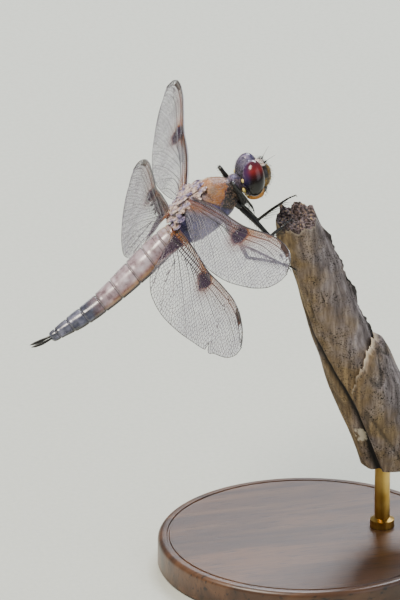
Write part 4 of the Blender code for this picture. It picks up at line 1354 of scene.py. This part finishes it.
def shaded(angle):
    """1 on the side to the insect, 0 on the far side."""
    return 0.5 - 0.5 * math.cos(math.radians(angle))


print("stem mm", round(STEM, 1), "radius at the top", round(stem_radius(0, 0), 2))

# %% Stem form
# shares of the grid's length that close the torn top and the foot
MOUTH, SOLE = 0.12, 0.04


def stem_form(u, v):
    angle = 360 * u
    rise = torn(angle)
    t = max((v - MOUTH) / (1 - MOUTH - SOLE), 0)
    radius = stem_radius(t * STEM, angle)
    if v < MOUTH:
        part = math.sin(0.5 * math.pi * v / MOUTH)
        a = math.radians(angle)
        lumpy = 0.5 * noise.noise(Vector((6 * part * math.cos(a), 6 * part * math.sin(a), 5)))
        down = -rise * part ** 3 + 1.1 * (1 - part) + lumpy * (1 - part ** 6)
        return stem_point(down, angle, (radius - INSIDE) * part), 1.0, 0.0, 0.0, 0.5
    t = min(t, 1)
    down = -rise * (1 - t) ** 3 + t * foot(angle, radius)
    crack = 0.7 * math.exp(-(fibre(angle, down, 3, 1.5, 26) / 0.03) ** 2)
    crack *= step_up(fibre(angle, down, 9, 0.8, 14), 0.02, 0.25) * step_up(down, 9, 14)
    # one long split wanders down the left side
    split_at = smooth(((8, 163), (16, 180), (25.7, 206), (32, 230), (46, 226)), down)
    split = hill(angle, split_at + 7 * fibre(90, down, 7, 0.5, 4), 6 + 0.12 * down) * step_up(down, 6, 10)
    ridge = 0.55 + 0.8 * fibre(0, down, 31, 1, 3.4) + 0.4 * fibre(0, down, 37, 1, 0.7)
    ridge *= hill(angle, 349, 9) * step_up(down, 2, 6)
    lift = 0.1 * fibre(angle, down, 0, 4, 5) + 0.05 * fibre(angle, down, 5, 11, 3)
    lift += 0.75 * max(ridge, 0) + hill(angle, 186, 45) * hill(down, 2.4, 3.2) - 0.3 * crack - 0.55 * split
    rim = step_up(down + rise, 0, 0.5)
    ragged = angle + 14 * fibre(angle, down, 41, 12, 0.6)
    lichen = step_up(1.2 - away(ragged, 222, 9) - away(down, 37.5, 1.2), 0.1, 0.6)
    pale = max((0.45 + 0.5 * hill(angle, 50, 50)) * (1 - rim), lichen)
    # painted shade: the cracks, the long split and the edge of the ridge are painted dark
    dark = min(crack + 1.3 * split + 0.8 * step_up(ridge, 0.22, 0.36), 1)
    shut = math.cos(0.5 * math.pi * max(v - 1 + SOLE, 0) / SOLE)
    spot = stem_point(down, angle, (radius + lift * rim - INSIDE) * shut)
    return spot, 0.0, dark, pale, shaded(angle)


WOOD_MASKS = ("pith", "crack", "rim", "shade")
stem = wrap_grid("perch_stem", 220, 260, stem_form, masks=WOOD_MASKS)


# %% Loose bark sleeve
def bark_form(u, v):
    angle = -122 + 232 * v
    rim = smooth(((-122, 29.5), (-100, 27.2), (-70, 24.6), (-30, 23.4), (20, 24.5), (110, 27)), angle)
    rim += 0.9 * noise.noise(Vector((angle / 9, 3, 0))) + 0.45 * noise.noise(Vector((angle / 3, 7, 0)))
    outer = u < 0.5
    t = 2 * u if outer else 2 - 2 * u
    reach = stem_radius(rim + t * (STEM - rim), angle) + 0.34
    side = math.sin(math.pi * min(max(v, 0), 1)) ** 0.25
    thick = (0.95 + 0.45 * hill(angle, -25, 60)) * (1 - 0.25 * (1 - t) ** 4) * min(side, 1)
    bow = math.sin(math.pi * min(t * 14, 1) * 0.5)
    reach += thick * bow * outer
    down = rim + t * (foot(angle, reach) - rim)
    knots = 0.14 * fibre(angle, down, 13, 5, 5) + 0.07 * fibre(angle, down, 17, 12, 3)
    knots -= 0.25 * math.exp(-(fibre(angle, down, 23, 1.6, 22) / 0.04) ** 2)
    reach += knots * bow * side * outer
    pale = (1 - step_up(t, 0.0, 0.035)) * (0.35 + 0.65 * step_up(angle, -95, -70))
    # the deepest bark grooves get half of the painted crack shade
    return stem_point(down, angle, reach), 0.0, 0.5 * (knots < -0.15), pale, shaded(angle)


bark = wrap_grid("perch_bark_sleeve", 260, 110, bark_form, masks=WOOD_MASKS)

# %% Dead wood finish
# weathered wood is matt all over; long fibres and black specks give it its grain
wood, where, pith, crack, rim, shade = new_material("weathered dead stem", *WOOD_MASKS)
upright = add(wood, "Mapping", {"Vector": where, "Rotation": (0, LEAN, 0), "Scale": (1, 1, 0.12)})
grainy = add(wood, "TexNoise", {"Vector": upright, "Scale": 1300.0, "Detail": 6.0, "Roughness": 0.62})
broad = add(wood, "TexNoise", {"Vector": where, "Scale": 190.0, "Detail": 3.0})
spots = add(wood, "TexNoise", {"Vector": where, "Scale": 2600.0, "Detail": 3.0, "Roughness": 0.6})
dots = add(wood, "TexNoise", {"Vector": where, "Scale": 4200.0, "Detail": 2.0, "Roughness": 0.7})
stain = add(wood, "TexNoise", {"Vector": where, "Scale": 420.0, "Detail": 2.0})
# ochre patches gather on the side towards the insect: a painted tint of the light on that side
side_light_blend = add(wood, "Math", {0: shade, 1: 0.28, 2: broad}, operation="MULTIPLY_ADD")
ochre_light_tint = add(wood, "MapRange", {"Value": side_light_blend, "From Min": 0.5, "From Max": 0.74, "To Max": 0.9})
speck = add(wood, "MapRange", {"Value": dots, "From Min": 0.535, "From Max": 0.6})
damp = add(wood, "MapRange", {"Value": stain, "From Min": 0.38, "From Max": 0.58, "To Min": 0.15})
mould = add(wood, "Math", {0: speck, 1: damp}, operation="MULTIPLY")
# the torn top: violet-grey and cream wood, with near-black patches that are partly a painted shade in the
# hollow
torn_top_and_shade = paint(wood, spots, {0.36: "#120d0a", 0.48: "#41342e", 0.56: "#6d606a", 0.68: "#a98f62"})
pale_rim = add(wood, "Math", {0: rim, 1: 0.8}, operation="MULTIPLY")
# the crack mask paints shade near-black into the cracks, the split and beside the ridge
tone = paint(wood, grainy, {0.3: "#4a4142", 0.5: "#7b706f", 0.7: "#a79d9e"},
             (ochre_light_tint, {0.3: "#43331c", 0.5: "#766040", 0.7: "#9f8455"}), (mould, "#1d1815"),
             (crack, "#14100d"), (pith, torn_top_and_shade), (pale_rim, "#d8cbb4"))
close_material(wood, tone, {"Roughness": 0.82}, (grainy, 0.0002, 0.55), (spots, 0.00012, 0.6))
dress(stem, wood, "dead_wood", "perch")
dress(bark, wood, "dead_wood", "perch_bark")

# %% [markdown]
# The stand is a turned walnut disc, stained and waxed, and a brass rod. The disc's rim has a
# small round-over, so its profile is wrapped round finely in place of the faceted solid; the
# rod keeps its solid shape. Turned wood shows its growth rings as stretched bands across the
# top, and drawn brass has a faint grain along it and dulls in patches.

# %% Turned disc
disc_low, disc_high = (Vector(c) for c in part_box("stand_base"))
DISC_R, DISC_H = (disc_high.x - disc_low.x) / 2, disc_high.z
# how round the rim is and how deep its groove, in metres
RIM, GROOVE = 0.0008, 0.0002
turns = [t * math.pi / 12 for t in range(1, 7)]
# share of the radius and height of each ring: base, side, round-over, groove and top
PROFILE = [(0, 0), (0.6, 0), (0.98, 0), (1, 0.00025), (1, DISC_H - RIM),
           *[(1 - RIM / DISC_R * (1 - math.cos(a)), DISC_H - RIM + RIM * math.sin(a)) for a in turns],
           (0.94, DISC_H), (0.935, DISC_H - GROOVE), (0.925, DISC_H - GROOVE), (0.92, DISC_H),
           (0.5, DISC_H), (0, DISC_H)]


def disc_form(u, v):
    share, z = PROFILE[round(v * (len(PROFILE) - 1))]
    a = 2 * math.pi * u
    return Vector((share * DISC_R * math.cos(a), share * DISC_R * math.sin(a), z))


disc = wrap_grid("stand_disc", 160, len(PROFILE) - 1, disc_form)
print("disc mm", round(2 * DISC_R / MM, 1), "across and", round(DISC_H / MM, 1), "high")

# %% Stand finishes
# wax over open pores gives a broad soft shine
walnut, where = new_material("waxed walnut")
plank = add(walnut, "Mapping", {"Vector": where, "Rotation": (0, 0, 0.5), "Scale": (0.12, 1, 0.5)})
warp = add(walnut, "TexNoise", {"Vector": plank, "Scale": 260.0, "Detail": 5.0, "Distortion": 0.6})
pore = add(walnut, "TexNoise", {"Vector": plank, "Scale": 2600.0, "Detail": 3.0})
streak = add(walnut, "MapRange", {"Value": pore, "From Min": 0.58, "From Max": 0.7})
tone = paint(walnut, warp, {0.3: "#2a1a10", 0.5: "#4a2f1c", 0.62: "#5f4028", 0.75: "#3a2416"},
             (streak, "#22150d"))
close_material(walnut, tone, {"Roughness": 0.38, "IOR": 1.5, "Coat Weight": 0.2, "Coat Roughness": 0.3},
               (pore, 0.00008, 0.4))
# a bright metal whose mirror is blurred by lines along its length
brass, where = new_material("drawn brass")
drawn = add(brass, "Mapping", {"Vector": where, "Scale": (1, 1, 0.03)})
lines = add(brass, "TexNoise", {"Vector": drawn, "Scale": 6000.0, "Detail": 2.0})
dull = add(brass, "TexNoise", {"Vector": where, "Scale": 220.0, "Detail": 3.0})
tone = paint(brass, dull, {0.35: "#a8843f", 0.65: "#cfae62"})
matt = add(brass, "MapRange", {"Value": dull, "To Min": 0.24, "To Max": 0.42})
close_material(brass, tone, {"Metallic": 1.0, "Roughness": matt}, (lines, 0.00001, 0.3))
dress(disc, walnut, "stained_wood", "stand_base")
clear_selection()
disc.select_set(True)
bpy.context.view_layer.objects.active = disc
bpy.ops.object.shade_smooth_by_angle(angle=math.radians(30))
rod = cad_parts["stand_rod"]
rod.data.materials.clear()
rod.data.materials.append(brass)
print("brass on", rod.name)
